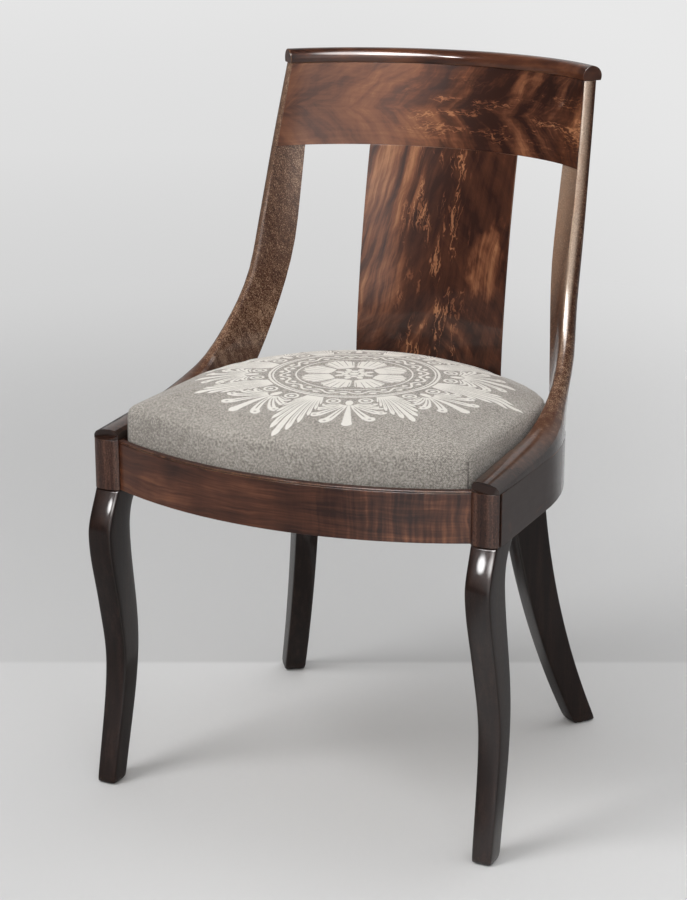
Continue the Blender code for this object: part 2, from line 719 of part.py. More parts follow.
def stile_ring(front, rear, bulge=0.0):
    """A section across the band: flat faces, a flat rear, and a rounded front that slants outward."""
    ahead = (front - rear).normalized()
    flatten = smoothstep((front.y - STILE_ROUND_FROM) / (CREST_BOTTOM - STILE_ROUND_FROM))
    nosing = STILE_ROUND + (STILE_TOP_ROUND - STILE_ROUND) * flatten
    lifted = smoothstep((front.y - RAIL_TOP - 2 * NOSE_HEIGHT) / SLANT_RISE)
    slant = STILE_SLANT * (1 - flatten) * (ARM_SLANT_SHARE + (1 - ARM_SLANT_SHARE) * lifted)
    inner = [rear.lerp(front, t) for t in spread(0.0, 1.0, 4)]
    outer = [rear.lerp(front - ahead * slant, t) for t in spread(1.0, 0.0, 4)]
    ring = []

    def add(spot, share):
        round_nose = bulge * (1 - (2 * share - 1) ** 2)
        thick = stile_thickness(spot.x, spot.y)
        ring.append(wall_by_y(spot.x, spot.y, share * thick) - Vector((0.0, round_nose, 0.0)))

    for spot in inner:
        add(spot, 0.0)
    for share in NOSING_SHARES:
        lift = nosing * math.sqrt(1 - (2 * share - 1) ** 2) - slant * share ** 2
        add(front + ahead * lift, share)
    for spot in outer:
        add(spot, 1.0)
    for share in (0.72, 0.28):
        add(rear, share)
    return ring


def build_stile(word, side):
    """One sawn member from the nose over the post, along the arm and up to the crest roll."""
    stations, nose, top = stile_front_stations()
    rings = [stile_ring(nose, Vector((nose.x, RAIL_TOP + CLEARANCE)), NOSE_BULGE)]
    for front, direction in stations[1:]:
        rings.append(stile_ring(front, across_band(front, direction)))
    rings.append(stile_ring(top, Vector((STILE_TOP_REAR, CREST_TOP))))
    for point in rings[-1]:
        point.z = CREST_TOP
    stile = loft("stile_" + word, [mirrored(ring, side) for ring in rings])
    return finish(stile, "plain_mahogany")


# Crest rail, its veneer and roll
def stile_front(z):
    """The stile's front edge at a height on its straight upper run."""
    return STILE_TOP_FRONT - (CREST_TOP - z) * math.tan(STILE_LEAN)


def crest_rings(edge, margin, near, far, count):
    """Sections of a curved board between two stile edges, from depth near to depth far."""
    levels = spread(CREST_BOTTOM, CREST_TOP, 4)
    rings = []
    for share in spread(-1.0, 1.0, count):
        ring = []
        for depth, heights in ((near, levels), (far, levels[::-1])):
            for z in heights:
                limit = wall_angle(edge(z), z) - margin / WELL_DEPTH
                ring.append(wall_by_angle(share * limit, z, depth))
        rings.append(ring)
    return rings


def build_crest():
    """A curved board dowelled between the stiles, faced with one sheet across them all."""
    crest = loft("crest_rail", crest_rings(stile_rear, 2 * CLEARANCE, 0.0, CREST_THICKNESS, 23))
    finish(crest, "plain_mahogany")
    sheet = crest_rings(stile_front, 2 * CLEARANCE, -SKIN, -CLEARANCE, 31)
    finish(loft("crest_veneer", sheet), "figured_mahogany")
    return crest


def build_roll():
    """The roll runs the length of the crest and caps the stiles."""
    flat = math.asin((ROLL_RADIUS - ROLL_HEIGHT) / ROLL_RADIUS)
    middle = ROLL_RADIUS - ROLL_OVERHANG
    height = ROLL_BOTTOM - ROLL_RADIUS * math.sin(flat)
    limit = wall_angle(STILE_TOP_FRONT, CREST_TOP) + ROLL_END / WELL_DEPTH
    rings = []
    for angle in spread(-limit, limit, 25):
        ring = []
        for turn in spread(flat, math.pi - flat, 14):
            point = wall_by_angle(angle, ROLL_BOTTOM, middle + ROLL_RADIUS * math.cos(turn))
            point.z = height + ROLL_RADIUS * math.sin(turn)
            ring.append(point)
        rings.append(ring)
    return finish(loft("crest_roll", rings), "figured_mahogany")


# Splat
def splat_ring(z, half_width, near, far, bevel=0.0):
    """A curved strip of the barrel wall at one height, its back edges bevelled away."""
    ring = []
    for depth, half, way in ((near, half_width, 1), (far, half_width - bevel, -1)):
        limit = way * math.asin(half / wall(z)[0])
        ring += [wall_by_angle(angle, z, depth) for angle in spread(-limit, limit, 9)]
    return ring


def build_splat(crest, rear_rail):
    """The splat follows the back's curl and is tenoned into the crest and the rear rail."""
    low, high = RAIL_TOP + CLEARANCE, CREST_BOTTOM - CLEARANCE
    tenon_half = SPLAT_HALF_WIDTH * SPLAT_TENON_SHARE
    shoulder = SPLAT_THICKNESS - SPLAT_SHOULDER

    def tenon(z, grow=0.0):
        return splat_ring(z, tenon_half + grow, SPLAT_SHOULDER - grow, shoulder + grow)

    rings = [tenon(low - SPLAT_TENON), tenon(low)]
    rings += [splat_ring(z, SPLAT_HALF_WIDTH, 0.0, SPLAT_THICKNESS, SPLAT_BEVEL)
              for z in spread(low, high, 11)]
    rings += [tenon(high), tenon(high + SPLAT_TENON)]
    finish(loft("splat", rings), "plain_mahogany")
    for name, mate, near, far in (
            ("splat_foot_mortise", rear_rail, low - SPLAT_TENON - CLEARANCE, low + SPLAT_TENON),
            ("splat_head_mortise", crest, high - SPLAT_TENON, high + SPLAT_TENON + CLEARANCE)):
        middle = (near + far) / 2
        cut(mate, loft(name, [tenon(z, CLEARANCE) for z in (near, middle, far)], cutters))
    sheet = [splat_ring(z, SPLAT_HALF_WIDTH, -SKIN, -CLEARANCE) for z in spread(low, high, 11)]
    finish(loft("splat_veneer", sheet), "figured_mahogany")


# Glue blocks
def build_front_block(word, side):
    """A block in the front corner, glued to the post and both rails."""
    top, bottom = LEDGE_TOP - CLEARANCE, LEDGE_TOP - BLOCK_HEIGHT
    rail_depth = FRONT_LIP + LEDGE_WIDTH + BLOCK_SETBACK
    corner = POST_INNER - BLOCK_SETBACK
    flank = WELL_HALF_WIDTH - LEDGE_WIDTH - BLOCK_SETBACK
    reach = flank - FRONT_BLOCK_REACH
    outline = [(corner, POST_REAR - BLOCK_SETBACK), (flank, POST_REAR - BLOCK_SETBACK),
               (flank, POST_REAR + FRONT_BLOCK_REACH / 2)]
    outline += [(x, front_arc(x, rail_depth)) for x in spread(reach, corner, 5)]
    outline = [(side * x, y) for x, y in outline]
    return finish(plank("front_block_" + word, outline, bottom, top), "secondary_wood")


def build_rear_block(word, side):
    """A block across the side and rear rails' joint, over the rear leg."""
    top, bottom = LEDGE_TOP - CLEARANCE, RAIL_BOTTOM
    joint = math.pi / 2 - RAIL_JOINT_ANGLE
    back = LEDGE_WIDTH + BLOCK_SETBACK
    outline = []
    for spot in spread(joint - REAR_BLOCK_SPREAD, joint + REAR_BLOCK_SPREAD, 7):
        point, normal, _ = well_station(spot)
        outline.append(point - normal * back)
    point, normal, _ = well_station(joint)
    tangent = Vector((-normal.y, normal.x))
    face = point - normal * (back + REAR_BLOCK_REACH)
    outline += [face + tangent * REAR_BLOCK_REACH / 2, face - tangent * REAR_BLOCK_REACH / 2]
    outline = [(side * p.x, p.y) for p in outline]
    return finish(plank("rear_block_" + word, outline, bottom, top), "secondary_wood")


# Slip seat
def seat_side_x(y, inset):
    """Half width of the seat at y, set in from the well."""
    return wall_by_y(y, RAIL_TOP, -inset).x


def seat_corner(inset, front_inset):
    """The seat's front corner, where its side meets the bowed front."""
    x = WELL_HALF_WIDTH - inset
    return Vector((x, front_arc(x, FRONT_LIP + front_inset)))


def seat_outline(inset, front_inset, front_count=9, side_count=5, back_count=13):
    """The seat's plan, round from the front left corner, set in from the well."""
    corner = seat_corner(inset, front_inset)
    points = [Vector((x, front_arc(x, FRONT_LIP + front_inset)))
              for x in spread(-corner.x, corner.x, front_count)]
    points += [Vector((corner.x, y)) for y in spread(corner.y, WELL_CENTRE, side_count)[1:-1]]
    for angle in spread(math.pi / 2, -math.pi / 2, back_count):
        points.append(wall_by_angle(angle, RAIL_TOP, -inset).xy)
    points += [Vector((-corner.x, y)) for y in spread(WELL_CENTRE, corner.y, side_count)[1:-1]]
    return points


def cover_side(inset):
    """Insets of the slip frame's edges inside the cover."""
    skin = COVER_THICKNESS + COVER_DRAW + FRAME_SLACK
    return SEAT_INSET + skin + inset, SEAT_FRONT_INSET + skin + inset


def build_slip_frame():
    """Four curved members, the sides tenoned into the front and back."""
    side_in, front_in = cover_side(0.0)
    front_back = front_in + SLIP_MEMBER
    front_half = WELL_HALF_WIDTH - side_in
    outline = [(x, front_arc(x, FRONT_LIP + front_in)) for x in spread(-front_half, front_half, 25)]
    joint_y = front_arc(front_half, FRONT_LIP + front_back)
    outline += [(x, front_arc(x, FRONT_LIP + front_back)) for x in spread(front_half, -front_half, 25)]
    front = plank("slip_frame_front", outline, SLIP_BOTTOM, SLIP_TOP)
    finish(front, "secondary_wood")

    angles = spread(math.pi / 2, -math.pi / 2, 17)
    outline = [wall_by_angle(a, RAIL_TOP, -side_in).xy for a in angles]
    outline += [wall_by_angle(a, RAIL_TOP, -side_in - SLIP_MEMBER).xy for a in reversed(angles)]
    rear = plank("slip_frame_rear", outline, SLIP_BOTTOM, SLIP_TOP)
    finish(rear, "secondary_wood")

    outer = WELL_HALF_WIDTH - side_in
    inner = outer - SLIP_MEMBER
    third = SLIP_MEMBER / 3
    low, high = SLIP_BOTTOM + SLIP_THICKNESS / 3, SLIP_TOP - SLIP_THICKNESS / 3
    start, end = joint_y + CLEARANCE, WELL_CENTRE - CLEARANCE

    def shoulder(x):
        return front_arc(x, FRONT_LIP + front_back) + 2 * CLEARANCE

    for side, word in ((-1, "left"), (1, "right")):
        def bar(y, x0, x1, z0, z1):
            return mirrored([(x0, y, z0), (x1, y, z0), (x1, y, z1), (x0, y, z1)], side)

        def slanted(x0, x1, z0, z1):
            return mirrored([(x0, shoulder(x0), z0), (x1, shoulder(x1), z0),
                             (x1, shoulder(x1), z1), (x0, shoulder(x0), z1)], side)

        tenon = (inner + third, outer - third, low, high)
        body = (inner, outer, SLIP_BOTTOM, SLIP_TOP)
        root_y = shoulder(inner + third)
        rings = [bar(root_y - SLIP_TENON, *tenon), slanted(*tenon), slanted(*body), bar(end, *body),
                 bar(end, *tenon), bar(end + SLIP_TENON, *tenon)]
        finish(loft("slip_frame_" + word, rings), "secondary_wood")
        grown = (inner + third - CLEARANCE, outer - third + CLEARANCE, low - CLEARANCE, high + CLEARANCE)
        cut(front, loft("slip_front_mortise_" + word,
                        [bar(root_y - SLIP_TENON - CLEARANCE, *grown), bar(start + SLIP_TENON, *grown)],
                        cutters))
        cut(rear, loft("slip_rear_mortise_" + word,
                       [bar(end - SLIP_TENON, *grown), bar(end + SLIP_TENON + CLEARANCE, *grown)],
                       cutters))


def web_height(distance, over):
    """A strap's rise or fall at a distance from the crossing that it goes over or under."""
    share = 1 - smoothstep((distance - WEB_FLAT) / (WEB_PITCH / 2 - WEB_FLAT))
    return (WEB_CROSS / 2) * share * (1 if over else -1)


def build_strap(name, fixed, ends, crossings, first_over, along_x):
    """A strap at a fixed offset, level at its ends and woven through its crossings."""
    edges = (fixed - WEB_WIDTH / 2, fixed + WEB_WIDTH / 2)
    stops = [ends[0], crossings[0] - WEB_PITCH / 2]
    for spot in crossings:
        stops += [spot - WEB_FLAT, spot + WEB_FLAT]
    stops += [crossings[-1] + WEB_PITCH / 2, ends[1]]
    rings = []
    for stop in stops:
        near = min(range(len(crossings)), key=lambda i: abs(stop - crossings[i]))
        rise = web_height(abs(stop - crossings[near]), (near % 2 == 0) == first_over)
        low = WEB_LEVEL + rise - WEB_THICKNESS / 2
        high = low + WEB_THICKNESS
        ring = []
        for edge, z in ((edges[0], low), (edges[1], low), (edges[1], high), (edges[0], high)):
            ring.append(Vector((stop, edge, z)) if along_x else Vector((edge, stop, z)))
        rings.append(ring)
    finish(loft(name, rings), "jute_web")


def build_webbing():
    """Three straps each way, woven over and under, tacked on the slip frame."""
    side_in, front_in = cover_side(WEB_MARGIN)
    half = WELL_HALF_WIDTH - side_in
    across = [row * WEB_PITCH for row in (-1, 0, 1)]
    along = [WEB_MIDDLE + row * WEB_PITCH for row in (-1, 0, 1)]
    for row, word in enumerate(("first", "middle", "last")):
        over = row % 2 == 0
        reach = seat_side_x(along[row] + WEB_WIDTH / 2, side_in)
        build_strap("web_cross_" + word, along[row], (-reach, reach), across, over, True)
        limit = abs(across[row]) + WEB_WIDTH / 2
        front = front_arc(limit, FRONT_LIP + front_in)
        back = WELL_CENTRE + (WELL_DEPTH - side_in) * math.sqrt(1 - (limit / half) ** 2)
        build_strap("web_long_" + word, across[row], (front, back), along, not over, False)


def drawn_in(outline, amount):
    """An outline whose sides pull in between its two front corners and its back."""
    front_left = min(outline, key=lambda p: p.x + p.y)
    front_right = max(outline, key=lambda p: p.x - p.y)
    moved = []
    for point in outline:
        near = min((point - front_left).length, (point - front_right).length)
        pull = amount * smoothstep(near / DRAW_REACH)
        moved.append(point - point.normalized() * pull)
    return moved


def crown_rings(profile, depth=0.0):
    """Rings of a crowned form, parallel to the seat's edge, then closing on the middle.

    The form falls away towards the back; depth is how far it lies under the cover's face.
    """
    rings = []
    for inset, z in profile:
        edge = min(inset, EDGE_BAND)
        plan = seat_outline(SEAT_INSET + edge, SEAT_FRONT_INSET + edge,
                            front_count=13, side_count=6, back_count=21)
        outline = drawn_in(plan, COVER_DRAW)
        ring = []
        for point in outline:
            reach = (point - CROWN_CENTRE).length
            spot = CROWN_CENTRE + (point - CROWN_CENTRE) * (1 - (inset - edge) / reach)
            risen = min(max((z + depth - FALL_BASE) / (COVER_EDGE - FALL_BASE), 0.0), 1.0)
            fall = COVER_FALL * risen * smoothstep((spot.y - FALL_START) / (FALL_END - FALL_START))
            fall *= 1 - smoothstep(inset / FALL_REACH)
            ring.append(Vector((spot.x, spot.y, z - fall)))
        rings.append(ring)
    return rings


def crown_profile(depth):
    """Inset and height up the cover's side and over its crown, a depth under its face."""
    profile = [(depth, COVER_EDGE - EDGE_SIDE)]
    for angle in spread(0.0, math.pi / 2, 5):
        across = (EDGE_ROUND - depth) * math.cos(angle)
        rise = (EDGE_FALL - depth) * math.sin(angle)
        profile.append((EDGE_ROUND - across, COVER_EDGE - EDGE_FALL + rise))
    for inset, share in CROWN_STEPS:
        profile.append((inset, COVER_EDGE + share * COVER_CROWN - depth))
    return profile


def capped(form, ring, hub):
    """Close a ring of vertices with a fan to a hub."""
    middle = form.verts.new(hub)
    for i in range(len(ring)):
        form.faces.new((ring[i], ring[(i + 1) % len(ring)], middle))


def crowned(name, rings, peak, floor=None):
    """A crowned surface through rings, closed below when a floor height is given."""
    mesh = bpy.data.meshes.new(name)
    form = bmesh.new()
    loops = [[form.verts.new(p) for p in ring] for ring in rings]
    for near, far in zip(loops, loops[1:]):
        for i in range(len(near)):
            j = (i + 1) % len(near)
            form.faces.new((near[i], near[j], far[j], far[i]))
    capped(form, loops[-1], (CROWN_CENTRE.x, CROWN_CENTRE.y, peak))
    if floor is not None:
        capped(form, loops[0][::-1], (CROWN_CENTRE.x, CROWN_CENTRE.y, floor))
    bmesh.ops.recalc_face_normals(form, faces=form.faces)
    form.to_mesh(mesh)
    form.free()
    return place(name, mesh)


def build_upholstery():
    """Hessian over the webbing, a stuffed pad, and the cover drawn down round the frame."""
    side_in, front_in = cover_side(HESSIAN_MARGIN)
    hessian = plank("hessian", [tuple(p) for p in seat_outline(side_in, front_in)],
                    HESSIAN_BOTTOM, HESSIAN_BOTTOM + HESSIAN_THICKNESS)
    finish(hessian, "jute_web")

    peak = COVER_EDGE + COVER_CROWN
    profile = [(0.0, COVER_BOTTOM), (0.0, RAIL_TOP)] + crown_profile(0.0)
    cover = crowned("seat_cover", crown_rings(profile), peak)
    shell = cover.modifiers.new("cloth", "SOLIDIFY")
    shell.thickness = COVER_THICKNESS
    shell.offset = -1
    finish(cover, "woven_cloth", 60)

    depth = COVER_THICKNESS + PAD_SLACK
    profile = [(depth, STUFFING_BOTTOM)] + crown_profile(depth)
    pad = crowned("seat_stuffing", crown_rings(profile, depth), peak - depth, STUFFING_BOTTOM)
    finish(pad, "horsehair", 60)


def build_dowels(word, side, stile, side_rail, crest, rear_rail):
    """Dowels from the stile into the rail and the crest, and across the rails' joint."""
    for number, y in enumerate(STILE_DOWEL_PLACES, 1):
        point = wall_by_y(y, RAIL_TOP, stile_thickness(y, RAIL_TOP) * STILE_DOWEL_SHARE)
        centre = Vector((side * point.x, point.y, RAIL_TOP - DOWEL_LENGTH * STILE_DOWEL_SINK))
        dowel(f"stile_dowel_{word}_{number}", centre, Vector((0, 0, 1)), stile, side_rail)
    for number, share in enumerate(CREST_DOWEL_SHARES, 1):
        z = CREST_BOTTOM + CREST_HEIGHT * share
        angle = wall_angle(stile_rear(z), z)
        point = wall_by_angle(angle, z, CREST_THICKNESS / 2)
        step = wall_by_angle(angle + DOWEL_RADIUS, z, CREST_THICKNESS / 2) - point
        centre = Vector((side * point.x, point.y, z))
        direction = Vector((side * step.x, step.y, 0)).normalized()
        dowel(f"crest_dowel_{word}_{number}", centre, direction, stile, crest)
    point, normal, lip = well_station(math.pi / 2 - RAIL_JOINT_ANGLE)
    centre = point + normal * (lip - SKIN - LEDGE_WIDTH) / 2
    middle = (RAIL_BOTTOM + LEDGE_TOP) / 2
    direction = Vector((-side * normal.y, normal.x, 0.0))
    dowel("rail_dowel_" + word, Vector((side * centre.x, centre.y, middle)), direction,
          side_rail, rear_rail)


def build_chair():
    """Build the frame, then the slip seat that drops into it."""
    mortises = build_front_rail()
    rear_rail = build_rear_rail()
    crest = build_crest()
    build_roll()
    build_splat(crest, rear_rail)
    for side, word in ((-1, "left"), (1, "right")):
        post = build_front_post(word, side, mortises[word])
        build_front_leg(word, side, post)
        side_rail = build_side_rail(word, side)
        stile = build_stile(word, side)
        build_front_block(word, side)
        build_rear_block(word, side)
        build_rear_leg(word, side, rear_rail)
        build_dowels(word, side, stile, side_rail, crest, rear_rail)
    build_slip_frame()
    build_webbing()
    build_upholstery()


build_chair()
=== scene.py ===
# %% [markdown]
# # A gondola side chair, dressed
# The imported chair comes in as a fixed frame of 49 plain pieces. This lesson gives each visible
# piece its finish: polished figured veneer on the crest, splat and rails, plain polished wood on
# the arms, dark legs, and a woven drop-in seat with a pale medallion. No piece moves and no size
# changes.

# %% Load the frame
import json
import math

import bmesh
import bpy
from mathutils import Matrix, Vector

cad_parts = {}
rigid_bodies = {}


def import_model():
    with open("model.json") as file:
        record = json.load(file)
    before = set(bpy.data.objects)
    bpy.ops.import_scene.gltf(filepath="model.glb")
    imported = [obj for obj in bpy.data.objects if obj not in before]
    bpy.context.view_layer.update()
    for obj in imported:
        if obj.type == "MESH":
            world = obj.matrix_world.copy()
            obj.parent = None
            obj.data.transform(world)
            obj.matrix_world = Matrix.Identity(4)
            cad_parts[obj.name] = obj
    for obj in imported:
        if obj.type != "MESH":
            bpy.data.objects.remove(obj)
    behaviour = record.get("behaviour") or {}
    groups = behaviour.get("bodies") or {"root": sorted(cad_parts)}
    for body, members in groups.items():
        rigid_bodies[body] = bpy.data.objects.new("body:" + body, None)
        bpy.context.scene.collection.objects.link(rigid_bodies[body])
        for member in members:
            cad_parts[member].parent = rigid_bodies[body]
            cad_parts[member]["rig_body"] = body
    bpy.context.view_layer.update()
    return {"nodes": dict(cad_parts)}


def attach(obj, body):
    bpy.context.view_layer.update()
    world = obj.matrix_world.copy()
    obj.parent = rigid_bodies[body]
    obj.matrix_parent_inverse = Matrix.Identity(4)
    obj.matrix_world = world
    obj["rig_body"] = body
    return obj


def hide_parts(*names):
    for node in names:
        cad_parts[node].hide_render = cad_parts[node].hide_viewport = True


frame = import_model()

nodes = frame["nodes"]

# %% [markdown]
# ## The camera
# A studio photograph of a chair is taken from about a standing person's chest, a little to one
# side, through a long lens that keeps the legs upright. The camera is set by an azimuth and an
# elevation, so that its three axes can be worked out, and by its own place in the room.

# %% Camera
CAMERA_PLACE = Vector((1.0168, -2.2054, 1.1099))
CAMERA_TURN = math.radians(25.513)
CAMERA_RISE = math.radians(16.911)
LENS_MM = 88.45
SENSOR_MM = 36.0

view_right = Vector((math.cos(CAMERA_TURN), math.sin(CAMERA_TURN), 0.0))
view_back = Vector((math.sin(CAMERA_TURN) * math.cos(CAMERA_RISE),
                    -math.cos(CAMERA_TURN) * math.cos(CAMERA_RISE), math.sin(CAMERA_RISE)))
view_up = view_back.cross(view_right)

bpy.ops.object.camera_add(location=CAMERA_PLACE)
camera = bpy.context.object
camera.data.lens = LENS_MM
camera.data.sensor_width = SENSOR_MM
camera.rotation_euler = Matrix((view_right, view_up, view_back)).transposed().to_euler()
bpy.context.scene.camera = camera
bpy.context.scene.view_settings.view_transform = "Standard"
print("camera:", [round(v, 3) for v in camera.location])

# %% [markdown]
# ## Sums on shader sockets
# A pattern such as grain or weave is a sum: noise, plus a wave, times a mask. Wiring Math nodes by
# hand hides the sum, so one small class stands for a socket and lets Python's own operators add the
# Math nodes. Every other node comes from its one `node` method.

# %% The Wire class
class Wire:
    """A socket of a node tree that can be used in sums."""

    def __init__(self, tree, socket=None):
        self.tree = tree
        self.socket = socket

    def node(self, kind, sockets=None, output=0, stops=None, **settings):
        """Add a node, set it up, feed its sockets, and give back one of its outputs."""
        made = self.tree.nodes.new("ShaderNode" + kind)
        for name, value in settings.items():
            setattr(made, name, value)
        if stops:
            ramp = made.color_ramp
            while len(ramp.elements) < len(stops):
                ramp.elements.new(1.0)
            for element, (place, colour) in zip(ramp.elements, stops):
                element.position = place
                element.color = (*colour, 1.0)
        for key, value in (sockets or {}).items():
            if isinstance(value, Wire):
                self.tree.links.new(value.socket, made.inputs[key])
            else:
                made.inputs[key].default_value = value
        return Wire(self.tree, made.outputs[output])

    def math(self, operation, *values):
        """A Math node on this value and up to two more."""
        return self.node("Math", dict(enumerate((self, *values))), operation=operation)

    def __add__(self, other):
        return self.math("ADD", other)

    def __sub__(self, other):
        return self.math("SUBTRACT", other)

    def __mul__(self, other):
        return self.math("MULTIPLY", other)

    def __truediv__(self, other):
        return self.math("DIVIDE", other)

    def __pow__(self, other):
        return self.math("POWER", other)

    def __rsub__(self, other):
        return self.node("Math", {0: other, 1: self}, operation="SUBTRACT")

    def __neg__(self):
        return self * -1.0

    def __abs__(self):
        return self.math("ABSOLUTE")

    __radd__ = __add__
    __rmul__ = __mul__

    def clamp(self, low=0.0, high=1.0):
        """Held between two numbers."""
        return self.math("MAXIMUM", low).math("MINIMUM", high)

    def parts(self):
        """The three parts of a vector."""
        split = self.node("SeparateXYZ", {0: self}).socket.node
        return [Wire(self.tree, part) for part in split.outputs]

    def step(self, low, high):
        """Ease from 0 at low to 1 at high."""
        return self.node("MapRange", {0: self, 1: low, 2: high, 3: 0.0, 4: 1.0},
                         interpolation_type="SMOOTHSTEP")

    def mix(self, dark, light):
        """A colour between two, with this value as the share of the second."""
        return self.node("Mix", {0: self, 6: dark, 7: light}, output=2, data_type="RGBA")

    def noise(self, x, y, z, detail=3.0, roughness=0.5):
        """Noise at a point whose parts are values; the scale is in them."""
        point = self.node("CombineXYZ", {0: x, 1: y, 2: z})
        return self.node("TexNoise", {"Vector": point, "Scale": 1.0, "Detail": detail,
                                      "Roughness": roughness})


print("Wire ready")

# %% [markdown]
# Every finish starts in the same way: a new material, its shader, and the place of each point on
# the object in metres. Patterns that read that place stay with the wood when a piece moves, and
# they have their real size.

# %% Material helpers
def open_material(name):
    """A new material: its shader node, a wire on its tree, and its object coordinates."""
    material = bpy.data.materials.new(name)
    material.use_nodes = True
    board = Wire(material.node_tree)
    place = board.node("TexCoord", output="Object")
    return material, material.node_tree.nodes["Principled BSDF"], board, place.parts()


def feed(shader, **sockets):
    """Put wires or plain numbers into a shader's sockets; an underscore stands for a space."""
    for name, value in sockets.items():
        socket = shader.inputs[name.replace("_", " ")]
        if isinstance(value, Wire):
            value.tree.links.new(value.socket, socket)
        else:
            socket.default_value = value


def bump(board, height, strength, distance):
    """A Bump node for a height value."""
    return board.node("Bump", {"Strength": strength, "Distance": distance, "Height": height})


def grey(tone):
    """An opaque grey."""
    return (tone, tone, tone, 1.0)


print("material helpers ready")

# %% [markdown]
# ## Floor and light
# The room is pale and plain. One large disc is the floor. Near the chair it is an ordinary matt
# surface that takes the shadows. Further off it glows with a pale tone of its own, a painted light
# for the camera alone, because the lamps don't reach that far. A painted shade steps the tone down
# faintly behind the feet, where the studio paper turns up.

# %% Floor
FLOOR_RADIUS = 16.0

bpy.ops.object.select_all(action="DESELECT")
bpy.ops.mesh.primitive_circle_add(vertices=96, radius=FLOOR_RADIUS, fill_type="NGON")
floor = bpy.context.object
floor.name = "studio_floor"
print("floor:", floor.name)

# %% [markdown]
# The paper's tone follows the picture's own directions, across it and into it: painted light makes
# it paler on the right, and painted shade dimmer on the left and past the turn. In the polish the
# floor is a painted reflection: darker, as a dark studio would look, but for a pale part of painted
# light on the lit side and another behind the chair. From below the floor is clear, so that it
# hides nothing.

# %% Studio paper
PAPER_TURN = 0.262
NEAR_TONE = 0.64
TURN_PAINTED_SHADE = 0.52
RIGHT_PAINTED_LIGHT = 0.79
LEFT_PAINTED_SHADE = 0.50
FAR_GLOW_TONES = [(0.00, 0.54), (0.06, 0.54), (0.20, 0.63), (0.45, 0.73), (1.00, 0.79)]
FAR_RIGHT_PAINTED_LIGHT = 0.82
FAR_REACH = 10.0
MIRRORED_DIM = 0.27
MIRRORED_PAINTED_LIGHT = 0.75

paper, paper_shader, board, (x, y, z) = open_material("studio_paper")
across = x * math.cos(CAMERA_TURN) + y * math.sin(CAMERA_TURN)
beyond = y * math.cos(CAMERA_TURN) - x * math.sin(CAMERA_TURN)
# Painted shade past the paper's turn and on the left, and painted light on the right, where the second
# lamp stands.
turned = beyond.step(PAPER_TURN - 0.004, PAPER_TURN + 0.010)
near_tone_and_light = turned.mix(grey(NEAR_TONE), grey(TURN_PAINTED_SHADE))
near_tone_and_light = (across.step(0.0, 0.9) * 0.65).mix(near_tone_and_light, grey(RIGHT_PAINTED_LIGHT))
near_tone_and_light = ((1.0 - across.step(-0.5, -0.1)) * 0.5).mix(near_tone_and_light, grey(LEFT_PAINTED_SHADE))

# Painted reflection for glossy rays alone: the floor dim, with painted light on the lit side and behind
# the chair.
round_front = x.math("ARCTAN2", -y)
lit_side = round_front.step(-0.1, 0.3) * (1.0 - round_front.step(0.9, 1.4))
behind = round_front.step(2.66, 3.02) + 1.0 - round_front.step(-2.75, -2.45)
painted_reflection_tone = (lit_side + behind * 0.8).mix(grey(MIRRORED_DIM), grey(MIRRORED_PAINTED_LIGHT))
in_polish = board.node("LightPath", output="Is Glossy Ray")
feed(paper_shader, Base_Color=in_polish.mix(near_tone_and_light, painted_reflection_tone), Roughness=0.9,
     Specular_IOR_Level=0.1)

# Painted light further off: the floor glows for the camera alone, paler with distance and to the right.
away = (x * x + y * y).math("SQRT")
far_glow_tone = away.node("ValToRGB", {0: away / FAR_REACH},
                     stops=[(place, (tone, tone, tone)) for place, tone in FAR_GLOW_TONES])
far_glow_tone = (across.step(-0.2, 1.4) * 0.75).mix(far_glow_tone, grey(FAR_RIGHT_PAINTED_LIGHT))
far = board.node("LightPath", output="Is Camera Ray") * away.step(0.75, 2.6)
glow = board.node("Emission", {"Color": far_glow_tone, "Strength": 1.0})
surface = board.node("MixShader", {0: far, 1: Wire(board.tree, paper_shader.outputs[0]), 2: glow})
under = board.node("NewGeometry", output="Backfacing")
surface = board.node("MixShader", {0: under, 1: surface, 2: board.node("BsdfTransparent")})
board.tree.links.new(surface.socket, board.tree.nodes["Material Output"].inputs["Surface"])
floor.data.materials.append(paper)
print("paper:", paper.name)

# %% [markdown]
# Soft light from a large lamp in front and to the left makes the shadows fall back and to the
# right. A second, wide lamp near the camera opens the shadows on the front, and a third hangs above
# the back. The world fills the rest. The lamps themselves don't show in the polish.

# %% Lights
def soft_lamp(name, place, aim, width, height, watts):
    """A rectangular lamp that faces a point."""
    bpy.ops.object.light_add(type="AREA", location=place)
    lamp = bpy.context.object
    lamp.name = name
    lamp.data.shape = "RECTANGLE"
    lamp.data.size = width
    lamp.data.size_y = height
    lamp.data.energy = watts
    lamp.rotation_euler = (Vector(aim) - Vector(place)).to_track_quat("-Z", "Y").to_euler()
    lamp.visible_glossy = False
    return lamp


soft_lamp("key_lamp", (-1.4, -2.0, 2.9), (0.0, 0.0, 0.4), 1.3, 1.3, 58.0)
soft_lamp("front_lamp", (1.9, -2.9, 2.3), (0.0, 0.0, 0.5), 2.2, 1.0, 22.0)
soft_lamp("top_lamp", (0.3, 0.6, 3.2), (0.0, 0.0, 0.4), 1.6, 1.6, 14.0)

# %% [markdown]
# A lamp's hard edges would show in the polish as bright rectangles. A photographer hangs a large
# sheet of thin cloth in front of the lamps, and the polish mirrors the cloth's soft glow. Here the
# world gives that mirrored glow to glossy rays alone: broad and dim ahead of the chair, brighter
# and smaller above for the arms, the roll and the knees, and the pale backdrop behind.

# %% World
SKY_FILL = 0.62
SKY_SEEN = 0.79
DARK_STUDIO = 0.08

